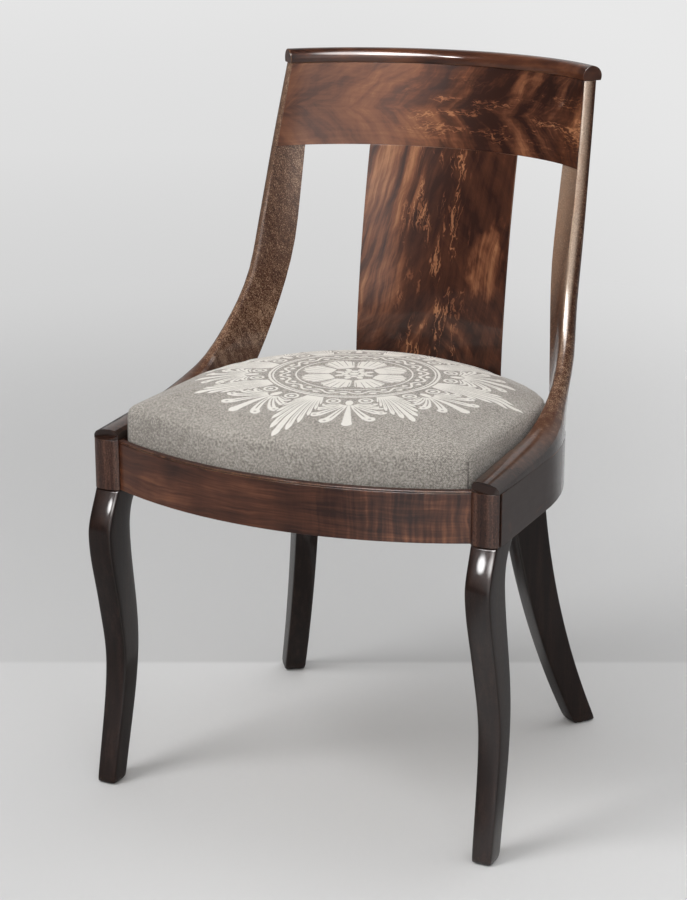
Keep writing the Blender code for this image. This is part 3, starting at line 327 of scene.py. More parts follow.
world = bpy.data.worlds.new("studio")
bpy.context.scene.world = world
world.use_nodes = True
board = Wire(world.node_tree)
dx, dy, dz = board.node("TexCoord", output="Generated").parts()
turn = dx.math("ARCTAN2", -dy)
rise = dz.math("ARCSINE")


def lit_cloth(azimuth, height, core, rim):
    """A soft round glow in one direction."""
    ahead = math.cos(height)
    aim = Vector((math.sin(azimuth) * ahead, -math.cos(azimuth) * ahead, math.sin(height)))
    return (dx * aim.x + dy * aim.y + dz * aim.z).step(math.cos(rim), math.cos(core))


broad = (1.0 - abs(turn - 0.45).step(0.25, 0.95)) * rise.step(-0.15, 0.35)
low_band = (1.0 - abs(turn - 0.5).step(0.35, 0.60)) * rise.step(-0.10, 0.02)
low_band = low_band * (1.0 - rise.step(0.20, 0.34))
backdrop = abs(turn).step(2.1, 2.6) * rise.step(0.02, 0.16) * (1.0 - rise.step(0.6, 1.0))
arm_glow = lit_cloth(0.42, 0.88, 0.14, 0.42) * 14.0
roll_glow = lit_cloth(0.02, 0.77, 0.10, 0.34) * 27.0
knee_glow = lit_cloth(-0.40, 0.56, 0.03, 0.105) * 45.0
mirrored = DARK_STUDIO + broad * 1.2 + low_band * 0.9 + backdrop * 0.45
mirrored = mirrored + arm_glow + roll_glow + knee_glow
mirrored = board.node("CombineXYZ", {0: mirrored, 1: mirrored, 2: mirrored})
polish_ray = board.node("LightPath", output="Is Glossy Ray")
plain_ray = board.node("LightPath", output="Is Camera Ray")
sky = plain_ray.mix(grey(SKY_FILL), grey(SKY_SEEN))
sky = polish_ray.mix(sky, mirrored)
board.tree.links.new(sky.socket, world.node_tree.nodes["Background"].inputs["Color"])
print("world:", world.name)

# %% [markdown]
# ## Polish
# French polish is many thin coats of shellac rubbed to a gloss over the stained wood. It is a clear
# coat with a sharp reflection, over wood whose own shine is much duller. The coat fills the pores
# nearly flat, so only a trace of them is left as relief.

# %% Polish helper
WORN_AND_LIT_TONE = (0.260, 0.135, 0.075, 1.0)
WOOD_SHINE = 0.12
COAT_IOR = 1.5
COAT_ROUGHNESS = 0.07
PORE_DEPTH = 0.00012


def polish(shader, board, colour, relief, coat=0.75, dull=0.38):
    """Wood under shellac: colour, a little relief, and a glossy coat with fine rubbing marks."""
    place = board.node("TexCoord", output="Object")
    rubbing_and_sheen = board.node("TexNoise", {"Vector": place, "Scale": 16.0, "Detail": 5.0, "Roughness": 0.6})
    # The eased edges turn towards a pale tone: partly wear, partly a painted highlight where an edge
    # would catch the light.
    wear_and_highlight = board.node("Attribute", output="Fac", attribute_name="wear_and_highlight") * rubbing_and_sheen.step(0.42, 0.62) * 0.6
    feed(shader, Base_Color=wear_and_highlight.mix(colour, WORN_AND_LIT_TONE), Specular_IOR_Level=WOOD_SHINE,
         Roughness=relief * 0.10 + rubbing_and_sheen * 0.16 + (dull - 0.13),
         Coat_Weight=(rubbing_and_sheen * 0.5 + (coat - 0.25)).clamp(), Coat_Roughness=COAT_ROUGHNESS,
         Coat_IOR=COAT_IOR, Normal=bump(board, relief, 0.35, PORE_DEPTH))


print("polish ready")

# %% [markdown]
# Old mahogany runs from nearly black brown in its dark figure to a golden flame. Each figured
# finish is worked out as one value, and a single ramp turns that value into these four colours, so
# that all the veneers match.

# %% Wood colours
DEEP = (0.020, 0.0065, 0.0038)
RED_BROWN = (0.066, 0.0215, 0.0105)
RUSSET = (0.165, 0.061, 0.028)
GOLDEN = (0.330, 0.150, 0.070)


def wood_ramp(value):
    """From the wood's deepest brown to its palest flame."""
    return value.node("ValToRGB", {0: value}, stops=[
        (0.0, DEEP), (0.36, DEEP), (0.52, RED_BROWN), (0.70, RUSSET), (0.92, GOLDEN)])


print("wood colours ready")

# %% [markdown]
# ## Crotch veneer
# The crest and splat are faced with crotch mahogany, cut where a trunk forks. Its figure has a
# spine, and pale plumes sweep away from the spine on both sides in nested arches. A value that is
# constant along an arch is the place along the spine, shifted by a power of the distance from it.
# Noise that changes fast across the arches and slowly along them gives the plumes, and finer noise
# gives the fibres and bright flecks.

# %% Crotch figure
def crotch(board, along, across, seed, sweep):
    """Light and dark of a crotch figure, by metres along its spine and across it."""
    drift = board.noise(along * 11.0, across * 11.0, seed) - 0.5
    stir = board.noise(along * 34.0, across * 34.0, seed + 4.0) - 0.5
    aside = abs(across + drift * 0.045)
    arch = along + (aside * 20.0) ** 0.75 * (sweep / 20.0) + stir * 0.022 + drift * 0.05
    plumes = board.noise(arch * 38.0, aside * 9.0, seed + 7.0, detail=4.0, roughness=0.55)
    broad = board.noise(arch * 13.0, aside * 5.0, seed + 9.0, detail=2.0)
    fibres = board.noise(arch * 260.0, aside * 26.0, seed + 11.0, detail=2.0)
    curl = board.noise(along * 55.0, across * 55.0, seed + 15.0, detail=4.0, roughness=0.65)
    figure = (plumes - 0.5) * 0.95 + (broad - 0.5) * 0.8 + (fibres - 0.5) * 0.22 + (curl - 0.5) * 0.35
    return figure + 0.42, fibres


def flecks(board, along, across, reach, seed, length=70.0, width=260.0):
    """Curly bright hairs near the spine, where the fibres turn end on."""
    wander = board.noise(along * 24.0, across * 24.0, seed) - 0.5
    crook = board.noise(along * 150.0, across * 150.0, seed + 1.0) - 0.5
    hair = board.noise(along * length + crook * 0.9, (across + wander * 0.02) * width + crook * 1.6,
                       seed + 2.0, detail=1.0)
    hair = 1.0 - abs(hair - 0.5).step(0.012, 0.060)
    near = 1.0 - abs(across + wander * 0.05).step(reach * 0.35, reach)
    patches = board.noise(along * 19.0, across * 62.0, seed + 6.0, detail=3.0).step(0.49, 0.60)
    return hair * near * patches


def streaks(board, x, z, lean, seed, fine=70.0):
    """Long soft streaks that lean by an angle from level."""
    run = x * math.cos(lean) + z * math.sin(lean)
    side = z * math.cos(lean) - x * math.sin(lean)
    bend = board.noise(run * 9.0, side * 9.0, seed) - 0.5
    side = (side + bend * 0.03) * fine
    return board.noise(run * 7.0, side, seed + 3.0, detail=4.0, roughness=0.6) - 0.5


def blob(x, z, middle_x, middle_z, reach_x, reach_z):
    """A soft patch, 1 in its middle."""
    far = ((x - middle_x) / reach_x) ** 2.0 + ((z - middle_z) / reach_z) ** 2.0
    return 1.0 - far.step(0.15, 1.0)


print("crotch figure ready")

# %% [markdown]
# On the crest the spine lies level. The left end is pale and quiet, with a few long sweeps. A pale
# wedge stands left of the middle, the middle is knotty and dark, and bright commas curl in the
# upper right. Each of these is a soft mask on the shared figure, placed in metres.

# %% Crest veneer finish
CREST_SPINE = 0.733

crest_figure, shader, board, (x, y, z) = open_material("crest_crotch")
up = z - CREST_SPINE
figure, fibres = crotch(board, -x, up, 3.0, sweep=0.95)
pale_end = 1.0 - x.step(-0.05, 0.05)
upper = up.step(0.004, 0.030)
wedge = blob(x, z, -0.030, 0.711, 0.045, 0.030) * (1.0 - (x + up * 0.5).step(-0.022, -0.016))
knot = blob(x, z, 0.035, 0.735, 0.13, 0.040)
commas = streaks(board, x, z, math.radians(62), 12.0, fine=46.0) * x.step(0.0, 0.06) * upper
sweeps = streaks(board, x, z, math.radians(24), 14.0) * upper * pale_end
grain = streaks(board, x, z, 0.0, 16.0, fine=240.0)
value = 0.06 + figure * (1.15 - pale_end * 0.50) + pale_end * 0.27 + wedge * 0.17 - knot * 0.10
value = value + commas * 0.95 + sweeps * 0.55 + grain * 0.22
value = value + flecks(board, x, up, 0.046, 21.0) * x.step(-0.10, 0.0) * 0.34
polish(shader, board, wood_ramp(value), fibres)
print(crest_figure.name)

# %% [markdown]
# On the splat the spine stands upright. A band of pale streaks leans down the left side, a ragged
# pale patch lies on the right, and the spine itself is dark with clusters of bright curly hairs.

# %% Splat veneer finish
SPLAT_SPINE = 0.004

splat_figure, shader, board, (x, y, z) = open_material("splat_crotch")
figure, fibres = crotch(board, z, x - SPLAT_SPINE, 8.0, sweep=1.5)
bow = (board.noise(z * 9.0, 4.0, 2.0, detail=1.0) - 0.5) * 0.05
lean = x - (z - 0.60) * 0.16 + bow
left_band = (1.0 - lean.step(-0.046, -0.030)) * z.step(0.445, 0.53)
upright = streaks(board, x, z, math.radians(80), 2.0, fine=105.0)
brim = (1.0 - abs(lean + 0.041).step(0.002, 0.010)) * z.step(0.47, 0.55)
stray = board.noise(x * 45.0, z * 30.0, 9.0, detail=3.0) - 0.5
right_patch = blob(x + stray * 0.05, z + stray * 0.10, 0.064, 0.555, 0.028, 0.055)
foot = 1.0 - z.step(0.46, 0.53)
value = 0.27 + figure * 0.36 + left_band * (upright * 1.1 + 0.20) + brim * 0.08
value = value + right_patch * (0.30 + upright * 0.9 + stray * 0.5)
value = value + upright * 0.40 + foot * (figure - 0.42) * 0.4
value = value + flecks(board, z, x + SPLAT_SPINE, 0.058, 31.0, length=42.0, width=190.0) * 0.42
polish(shader, board, wood_ramp(value), fibres)
print(splat_figure.name)

# %% [markdown]
# ## Rail veneers and the roll
# The rails' veneer is laid with its grain level. It has the same colours with less figure: long
# level streaks, a slow mottle, and on the front rail upright ripples towards the right. A painted
# shade makes the side rails darker than the front.

# %% Rail finish
rail_figure, shader, board, (x, y, z) = open_material("rail_veneer")
drift = board.noise(x * 9.0, y * 9.0, z * 14.0) - 0.5
level = board.noise(x * 7.0, y * 7.0, (z + drift * 0.03) * 105.0, detail=4.0, roughness=0.6)
mottle = board.noise(x * 26.0, y * 26.0, z * 22.0, detail=3.0)
ripple = board.noise((x + drift * 0.02) * 210.0, y * 40.0, z * 16.0, detail=2.0)
hairline = board.noise(x * 16.0, y * 16.0, (z + drift * 0.02) * 420.0, detail=2.0)
value = 0.49 + (level - 0.5) * 0.45 + (mottle - 0.5) * 0.30 + drift * 0.25 + (hairline - 0.5) * 0.26
# A painted shade darkens the side rails' veneer.
value = value + (ripple - 0.5) * 0.60 * x.step(-0.02, 0.16) - abs(x).step(0.222, 0.232) * 0.22
polish(shader, board, wood_ramp(value), level)
print(rail_figure.name)

# %% [markdown]
# The roll along the top is handled most and polished most. Its veneer is wrapped round the bar, so
# the streaks follow its length, with slow clouds of lighter and darker wood.

# %% Roll finish
roll_figure, shader, board, (x, y, z) = open_material("roll_veneer")
drift = board.noise(x * 12.0, y * 12.0, z * 12.0) - 0.5
level = board.noise(x * 18.0, (y + drift * 0.02) * 60.0, (z + drift * 0.02) * 120.0, detail=4.0)
cloud = board.noise(x * 14.0, y * 14.0, 5.0, detail=2.0)
value = 0.50 + (level - 0.5) * 0.5 + (cloud - 0.5) * 0.5
polish(shader, board, wood_ramp(value), level, coat=1.0)
print(roll_figure.name)

# %% [markdown]
# ## Plain wood
# The arms, posts and backs are plain straight-grained mahogany. Its open pores are short dashes
# along the grain, dark where they hold stain and pale where they catch the light. The arms are sawn
# from a plank that leans, so their grain leans as well.

# %% Plain wood helper
DARK_STAIN = (0.022, 0.008, 0.005, 1.0)
BARE_EDGE_AND_HIGHLIGHT = (0.560, 0.415, 0.305, 1.0)
ARM_FILLED = (0.425, 0.475)
ARM_FOOT_PAINTED_SHADE = (0.418, 0.436)
ARM_RIGHT_PAINTED_SHADE = 0.20


def straight_grain(name, dark, middle, light, tilt=0.0, pores=1.0, rings_share=0.9, coat=0.75, dull=0.38,
                   clear=True, stain_above=None, scuffed_below=None, arm=False):
    """Straight-grained wood, its grain upright or tilted towards the back."""
    made, shader, board, (x, y, z) = open_material(name)
    run = z * math.cos(tilt) + y * math.sin(tilt)
    side = y * math.cos(tilt) - z * math.sin(tilt)
    drift = board.noise(x * 9.0, side * 9.0, run * 3.0) - 0.5
    rings = board.noise((x + drift * 0.012) * 150.0, (side + drift * 0.012) * 150.0, run * 6.0,
                        detail=4.0, roughness=0.6)
    dark_pore = board.noise(x * 760.0, side * 760.0, run * 220.0, detail=1.0).step(0.55, 0.66)
    specks = board.noise(x * 1000.0, side * 1000.0, run * 560.0, detail=2.0)
    open_pores = (specks.step(0.47, 0.68) * 0.26 - dark_pore * 0.24) * pores
    value = 0.5 + (rings - 0.5) * rings_share + drift * 0.5
    if arm:
        open_pores = open_pores * z.step(*ARM_FILLED)
        # Painted shade: the right-hand stile is darker from the seat upwards.
        value = value - x.step(0.10, 0.16) * z.step(0.46, 0.54) * ARM_RIGHT_PAINTED_SHADE
        # Painted shade: the arms are darker at their foot, where they meet the rails.
        value = value - (1.0 - z.step(*ARM_FOOT_PAINTED_SHADE)) * 0.40
    value = value + open_pores
    if scuffed_below:
        value = value + (1.0 - z.step(0.0, scuffed_below)) * specks.step(0.50, 0.62) * 0.6
    colour = value.node("ValToRGB", {0: value}, stops=[(0.12, dark), (0.50, middle), (0.90, light)])
    if arm:
        # Painted highlight and wear: the arms' front edges and eased edges turn towards a pale tone.
        wear_and_highlight = board.node("Attribute", output="Fac", attribute_name="wear_and_highlight")
        colour = (wear_and_highlight * (specks * 1.1 + 0.15)).clamp().mix(colour, BARE_EDGE_AND_HIGHLIGHT)
    if stain_above:
        colour = z.step(stain_above - 0.001, stain_above).mix(colour, DARK_STAIN)
    relief = dark_pore * -0.5 + rings * 0.4
    if clear:
        polish(shader, board, colour, relief, coat, dull)
    else:
        feed(shader, Base_Color=colour, Roughness=rings * 0.2 + 0.52, Specular_IOR_Level=0.3,
             Normal=bump(board, relief, 0.5, 0.0003))
    return made


print("plain wood ready")

# %% [markdown]
# One helper makes six woods. The arms are the palest of the polished ones, with open pores above
# the seat. The posts are darker, and the legs were stained nearly black and are scuffed at the
# floor. Inside, the frame is a pale secondary wood with no polish, stained only where the rails'
# tops show.

# %% Plain, dark and secondary finishes
SECONDARY = ((0.230, 0.135, 0.066), (0.400, 0.262, 0.142), (0.520, 0.372, 0.225))
LEVEL_GRAIN = math.radians(90)

arm_wood = straight_grain("arm_mahogany", (0.018, 0.0070, 0.0042), (0.092, 0.040, 0.0225),
                          (0.440, 0.290, 0.190), tilt=math.radians(-24), pores=1.2, rings_share=0.62,
                          coat=0.9, arm=True)
post_wood = straight_grain("post_mahogany", (0.012, 0.0045, 0.003), (0.036, 0.0130, 0.0075),
                           (0.105, 0.045, 0.026), pores=0.8, rings_share=1.6, coat=0.9)
leg_wood = straight_grain("leg_mahogany", (0.0045, 0.0024, 0.0019), (0.0115, 0.0056, 0.0042),
                          (0.030, 0.0150, 0.0105), pores=0.5, coat=0.7, dull=0.4, scuffed_below=0.014)
back_wood = straight_grain("back_mahogany", (0.030, 0.0105, 0.006), (0.075, 0.027, 0.014),
                           (0.165, 0.073, 0.040), pores=0.9, coat=0.45, dull=0.42)
carcase_wood = straight_grain("carcase_wood", *SECONDARY, tilt=LEVEL_GRAIN, pores=0.5, clear=False)
rail_core = straight_grain("rail_core", *SECONDARY, tilt=LEVEL_GRAIN, pores=0.5, clear=False,
                           stain_above=0.396)
print([wood.name for wood in (arm_wood, post_wood, leg_wood, back_wood, carcase_wood, rail_core)])

# %% [markdown]
# ## From plain solids to polished pieces
# The frame's pieces have the right shape, but their meshes are loose triangles with knife edges.
# Real edges are eased with a scraper, and the line of light on an eased edge is what makes polished
# wood look solid. Each piece is therefore copied, its triangles are merged and paired, its sharp
# edges are bevelled, and its flat faces are kept flat by weighting the normals. The polished piece
# then stands for the plain one.

# %% Working copies
def select_only(piece):
    """Make one object the only selected and the active one."""
    bpy.ops.object.select_all(action="DESELECT")
    piece.select_set(True)
    bpy.context.view_layer.objects.active = piece


def merged_copy(node, name):
    """A new object with a node's mesh, its loose triangles merged and paired into quads."""
    piece = bpy.data.objects.new(name, nodes[node].data.copy())
    bpy.context.scene.collection.objects.link(piece)
    select_only(piece)
    bpy.ops.object.mode_set(mode="EDIT")
    bpy.ops.mesh.select_all(action="SELECT")
    bpy.ops.mesh.remove_doubles(threshold=0.00002)
    bpy.ops.mesh.tris_convert_to_quads(face_threshold=math.radians(40), shape_threshold=math.radians(60))
    bpy.ops.mesh.select_all(action="DESELECT")
    bpy.ops.object.mode_set(mode="OBJECT")
    return piece


def apply_modifiers(piece):
    """Apply every modifier, in order."""
    select_only(piece)
    for modifier in list(piece.modifiers):
        bpy.ops.object.modifier_apply(modifier=modifier.name)


def dress(piece, node, material):
    """Give a finished piece its material, its body and the node that it stands for."""
    piece.data.materials.clear()
    piece.data.materials.append(material)
    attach(piece, nodes[node]["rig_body"])
    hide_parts(node)
    return piece


print("copies ready")

# %% [markdown]
# A leg is sawn from a plank in one long curve. The plain leg comes in short straight lengths, and
# each bend would show in the polish, so a subdivision rounds them together with the narrow facets
# at the corners. The rim at the top is creased and stays sharp. The rim at the floor is creased
# less, as a foot that wear has rounded.

# %% Swept legs
RIM_ANGLE = math.radians(60)
RIM_CREASE = 1.0
FOOT_CREASE = 0.36


def sweep(piece):
    """Round a leg's short straight lengths into one curve."""
    form = bmesh.new()
    form.from_mesh(piece.data)
    sole = [face for face in form.faces if all(corner.co.z < 0.0001 for corner in face.verts)]
    bmesh.ops.dissolve_faces(form, faces=sole)
    crease = form.edges.layers.float.new("crease_edge")
    for rim in form.edges:
        if rim.calc_face_angle(math.pi) > RIM_ANGLE:
            on_floor = max(corner.co.z for corner in rim.verts) < 0.001
            rim[crease] = FOOT_CREASE if on_floor else RIM_CREASE
    form.to_mesh(piece.data)
    form.free()
    divide = piece.modifiers.new("sweep", "SUBSURF")
    divide.levels = 2
    divide.render_levels = 2
    apply_modifiers(piece)


print("sweep ready")

# %% [markdown]
# A spokeshave leaves the front of a leg very slightly round. A flat knee would mirror the light as
# one sheet. The crown of less than a millimetre gathers it into a spot near the middle, and it
# fades out towards both sides.

# %% Crowned knees
KNEE_CROWN = 0.0008
LEG_MIDDLE = 0.2247
LEG_SPLAY = 0.0082
LEG_HEIGHT = 0.355
LEG_HALF_WIDTH = 0.0152
FACING_FRONT = -0.4


def crown_front(piece):
    """Raise the middle of a leg's front face."""
    outer = max((point.co.x for point in piece.data.vertices), key=abs)
    facing = [point.normal.y for point in piece.data.vertices]
    for point, ahead in zip(piece.data.vertices, facing):
        middle = math.copysign(LEG_MIDDLE + LEG_SPLAY * (1.0 - point.co.z / LEG_HEIGHT), outer)
        aside = (point.co.x - middle) / LEG_HALF_WIDTH
        if ahead < FACING_FRONT and abs(aside) < 1.0:
            point.co.y -= KNEE_CROWN * (1.0 - aside * aside)
    piece.data.update()


print("crown ready")

# %% [markdown]
# Every other edge is bevelled. The bevel's own faces are where hands wear the stain off and where
# an edge would catch the light, so they are marked: the modifier gives them a second material slot,
# and the slot becomes a value for wear and painted highlight that the finishes read.

# %% Eased edges, wear and painted highlight
EDGE_ANGLE = math.radians(32)


def ease_edges(piece, edge):
    """Take the sharpness off every edge."""
    piece.data.materials.clear()
    piece.data.materials.append(None)
    piece.data.materials.append(None)
    round_off = piece.modifiers.new("eased_edges", "BEVEL")
    round_off.material = 1
    round_off.limit_method = "ANGLE"
    round_off.angle_limit = EDGE_ANGLE
    round_off.width = edge
    round_off.segments = 3
    round_off.use_clamp_overlap = True


def mark_wear_and_highlight(mesh):
    """A value for wear and painted highlight at each face corner: 1 on the eased edges, which have the
    second material for now.
    """
    wear_highlight_layer = mesh.attributes.new("wear_and_highlight", "FLOAT", "CORNER")
    for face in mesh.polygons:
        for corner in face.loop_indices:
            wear_highlight_layer.data[corner].value = float(face.material_index == 1)
        face.material_index = 0


print("eased edges ready")

# %% [markdown]
# Now each visible piece of wood is made in turn. The list gives its finish, its slot in the record
# and the width of its eased edge. Thin veneers have hardly any, the arms the most, and the legs are
# swept instead.

# %% Polished pieces
def polished(node, material, edge):
    """A merged copy, a leg with its sweep rounded and any other piece with its edges eased."""
    piece = merged_copy(node, node + "_polished")
    if edge:
        ease_edges(piece, edge)
    else:
        sweep(piece)
    if node.startswith("front_leg"):
        crown_front(piece)
    flat = piece.modifiers.new("flat_faces", "WEIGHTED_NORMAL")
    flat.keep_sharp = True
    bpy.ops.object.shade_smooth_by_angle(angle=math.radians(50))
    apply_modifiers(piece)
    mark_wear_and_highlight(piece.data)
    return dress(piece, node, material)


SIDES = ("left", "right")
WOODEN = [("crest_veneer", crest_figure, "figured_mahogany", 0.0004),
          ("splat_veneer", splat_figure, "figured_mahogany", 0.0004),
          ("front_rail_veneer", rail_figure, "figured_mahogany", 0.0004),
          ("rear_veneer", rail_figure, "figured_mahogany", 0.0004),
          ("crest_roll", roll_figure, "figured_mahogany", 0.0010),
          ("crest_rail", back_wood, "plain_mahogany", 0.0006),
          ("splat", back_wood, "plain_mahogany", 0.0005),
          ("front_rail_bead", post_wood, "plain_mahogany", 0.0003),
          ("front_rail", rail_core, "secondary_wood", 0.0005),
          ("rear_rail", rail_core, "secondary_wood", 0.0005),
          ("slip_frame_front", carcase_wood, "secondary_wood", 0.0008),
          ("slip_frame_rear", carcase_wood, "secondary_wood", 0.0008)]
for side in SIDES:
    WOODEN += [("side_veneer_" + side, rail_figure, "figured_mahogany", 0.0004),
               ("front_post_" + side, post_wood, "plain_mahogany", 0.0008),
               ("stile_" + side, arm_wood, "plain_mahogany", 0.0018),
               ("front_leg_" + side, leg_wood, "dark_mahogany", None),
               ("rear_leg_" + side, leg_wood, "dark_mahogany", None),
               ("side_rail_" + side, rail_core, "secondary_wood", 0.0005),
               ("front_block_" + side, carcase_wood, "secondary_wood", 0.0010),
               ("rear_block_" + side, carcase_wood, "secondary_wood", 0.0010),
               ("slip_frame_" + side, carcase_wood, "secondary_wood", 0.0008)]
for node, material, slot, edge in WOODEN:
    polished(node, material, edge)
print("polished:", len(WOODEN))

# %% [markdown]
# Each arm ends in a nose over its post. On a finished chair the nose is planed flush with the post
# after glueing, so the noses are drawn in here by a millimetre or two, and the change fades out
# along the arm.

# %% Flush noses
NOSE_BACK = 0.0015
NOSE_NARROWED = 0.076
NOSE_LENGTH = (0.165, 0.203)
NOSE_TOP = (0.44, 0.47)
MIDDLES = {"left": -LEG_MIDDLE, "right": LEG_MIDDLE}


def eased(value, low, high):
    """Ease from 0 at low to 1 at high, for plain numbers."""
    share = min(max((value - low) / (high - low), 0.0), 1.0)
    return share * share * (3.0 - 2.0 * share)


stile_meshes = {side: bpy.data.objects["stile_" + side + "_polished"].data for side in SIDES}
for side, mesh in stile_meshes.items():
    for point in mesh.vertices:
        share = eased(-point.co.y, *NOSE_LENGTH) * (1.0 - eased(point.co.z, *NOSE_TOP))
        point.co.x += (MIDDLES[side] - point.co.x) * NOSE_NARROWED * share
        point.co.y += NOSE_BACK * share
    mesh.update()
print("noses:", len(stile_meshes))

# %% [markdown]
# The front edges of the uprights are painted pale: mostly a painted highlight where the polish would
# catch the light, with a little wear on the eased edges. Each stile's face corners get a value: high
# where the surface faces forward, above the seat, and along a line of painted highlight on the inner
# corner. The right-hand stile gets the most.

# %% Painted highlights on the front edges
FRONT_PAINTED_HIGHLIGHT = {"left": 0.12, "right": 1.0}

for side, mesh in stile_meshes.items():
    # Painted highlight on surfaces that face forward above the seat, full on the right-hand stile.
    rubbing_and_sheen = [FRONT_PAINTED_HIGHLIGHT[side] * eased(-point.normal.y, 0.55, 0.9) * eased(point.co.z, 0.45, 0.56)
              for point in mesh.vertices]
    wear_highlight_layer = mesh.attributes["wear_and_highlight"].data
    for face in mesh.polygons:
        inner = face.normal.x * MIDDLES[side] < -0.02
        for corner in face.loop_indices:
            point = mesh.vertices[mesh.loops[corner].vertex_index]
            # Elsewhere the eased edges keep a third of their value, and a line of painted highlight runs
            # up the inner corner.
            line_share = eased(point.co.z, 0.455, 0.49) * (1.0 - eased(point.co.z, 0.57, 0.67))
            edge_wear_and_highlight = wear_highlight_layer[corner].value * (0.3 + 1.3 * line_share * inner)
            wear_highlight_layer[corner].value = max(edge_wear_and_highlight, rubbing_and_sheen[point.index])
print("worn stiles:", list(stile_meshes))

# %% [markdown]
# The dowels are glued into their holes and never seen. They stay as they are and take the plain
# wood.

# %% Dowels
dowels = [node for name, node in nodes.items() if "dowel" in name]
for node in dowels:
    node.data.materials.clear()
    node.data.materials.append(carcase_wood)
print("dowels:", len(dowels))

# %% [markdown]
# ## Webbing and sacking
# Under the seat, jute straps are woven over and under each other, and a sheet of coarse sacking
# lies on them. They are seen only from below. The weave is two waves at right angles, with one
# lifted where the other dips.

# %% Webbing and sacking finishes
def plain_weave(u, v, pitch):
    """Height of a plain weave, and which thread is on top."""
    turn = math.tau / (2.0 * pitch)
    over = (u * turn).math("SINE") * (v * turn).math("SINE")
    warp = abs((u * turn).math("SINE"))
    weft = abs((v * turn).math("SINE"))
    top = over.step(-0.15, 0.15)
    return warp * top + weft * (1.0 - top), top


def jute(name, pitch, dark, light):
    """Coarse bast cloth."""
    made, shader, board, (x, y, z) = open_material(name)
    height, top = plain_weave(x, y, pitch)
    slub = board.noise(x * 160.0, y * 160.0, z * 160.0, detail=3.0)
    value = height * 0.7 + (slub - 0.5) * 0.7 + top * 0.1
    feed(shader, Base_Color=value.clamp().mix((*dark, 1.0), (*light, 1.0)), Roughness=slub * 0.1 + 0.88,
         Specular_IOR_Level=0.1, Normal=bump(board, height, 0.8, 0.0005))
    return made


strap_jute = jute("strap_jute", 0.0021, (0.20, 0.135, 0.075), (0.50, 0.385, 0.240))
sacking = jute("sacking", 0.0026, (0.17, 0.120, 0.070), (0.44, 0.340, 0.215))
print(strap_jute.name, sacking.name)

# %% [markdown]
# The straps are pulled tight with a web strainer and nailed to the frame, and the sacking is tacked
# over them. So each is a flat stretched sheet that rests on the frame or on the straps, and its
# flat size is its size in place.


def bast_cloth(node, material):
    """A thin flat cloth: a merged copy, smoothly shaded, with its material."""
    piece = merged_copy(node, node + "_woven")
    bpy.ops.object.shade_smooth_by_angle(angle=math.radians(30))
    dress(piece, node, material)
    return piece


STRAPS = [f"web_{way}_{row}" for way in ("cross", "long") for row in ("first", "middle", "last")]
for strap in STRAPS:
    bast_cloth(strap, strap_jute)
bast_cloth("hessian", sacking)
print("straps:", len(STRAPS))

# %% [markdown]
# ## The stuffed seat
# The slip seat is curled hair under a tight woven cover, pulled down over a wooden frame. The pad
# is firm, so the cover is a low crown with soft edges, not a balloon. The plain solid has that
# crown already. Its outer skin is copied, closed and remeshed, drawn in by a few millimetres, and
# then blown up against its own cloth by a short simulation with the bottom held. What it gains is
# the even tension of real cloth.

# %% Outer skin of the cover
SEAT_HUB = Vector((0.0, -0.035, 0.430))
RAIL_TOP = 0.4125
VOXEL = 0.0052
DRAWN_IN = 0.0025


def edit(piece):
    """Open a piece for editing."""
    select_only(piece)
    bpy.ops.object.mode_set(mode="EDIT")
    return bmesh.from_edit_mesh(piece.data)


def done():
    """Close the piece that is open."""
    bpy.ops.object.mode_set(mode="OBJECT")


cover = merged_copy("seat_cover", "seat_cover_cloth")
form = edit(cover)
bpy.ops.mesh.select_mode(type="FACE")
for face in form.faces:
    outward = face.normal.dot(face.calc_center_median() - SEAT_HUB)
    face.select = outward < 0.0 or face.normal.z < -0.8
bmesh.update_edit_mesh(cover.data)
bpy.ops.mesh.delete(type="FACE")
bpy.ops.mesh.select_mode(type="EDGE")
bpy.ops.mesh.select_all(action="DESELECT")
bpy.ops.mesh.select_non_manifold()
bpy.ops.mesh.edge_face_add()
bpy.ops.mesh.select_all(action="SELECT")
bpy.ops.mesh.normals_make_consistent(inside=False)
done()
hem = min(v.co.z for v in cover.data.vertices)
cover.data.remesh_voxel_size = VOXEL
bpy.ops.object.voxel_remesh()
print("cover:", len(cover.data.vertices), "points, hem at", round(hem, 4))

# %% [markdown]
# The skin starts a little small and a steady pressure fills it, as the hair does. The bottom is
# pinned, where the cover is tacked. How far each point may go is limited at both ends, so the seat
# keeps the size of the solid.

# %% Blow the cover up against its cloth
SIM_FRAMES = 20
FREE_ABOVE = RAIL_TOP + 0.02
PINNED_BELOW = RAIL_TOP + 0.018
LEAST_OUT = 0.0021
MOST_OUT = 0.0038

normals = [v.normal.copy() for v in cover.data.vertices]
for vertex, normal in zip(cover.data.vertices, normals):
    vertex.co -= normal * DRAWN_IN * eased(vertex.co.z, RAIL_TOP, FREE_ABOVE)
start = [v.co.copy() for v in cover.data.vertices]
held = cover.vertex_groups.new(name="held")
for vertex in cover.data.vertices:
    held.add([vertex.index], 1.0 - eased(vertex.co.z, RAIL_TOP, PINNED_BELOW), "REPLACE")

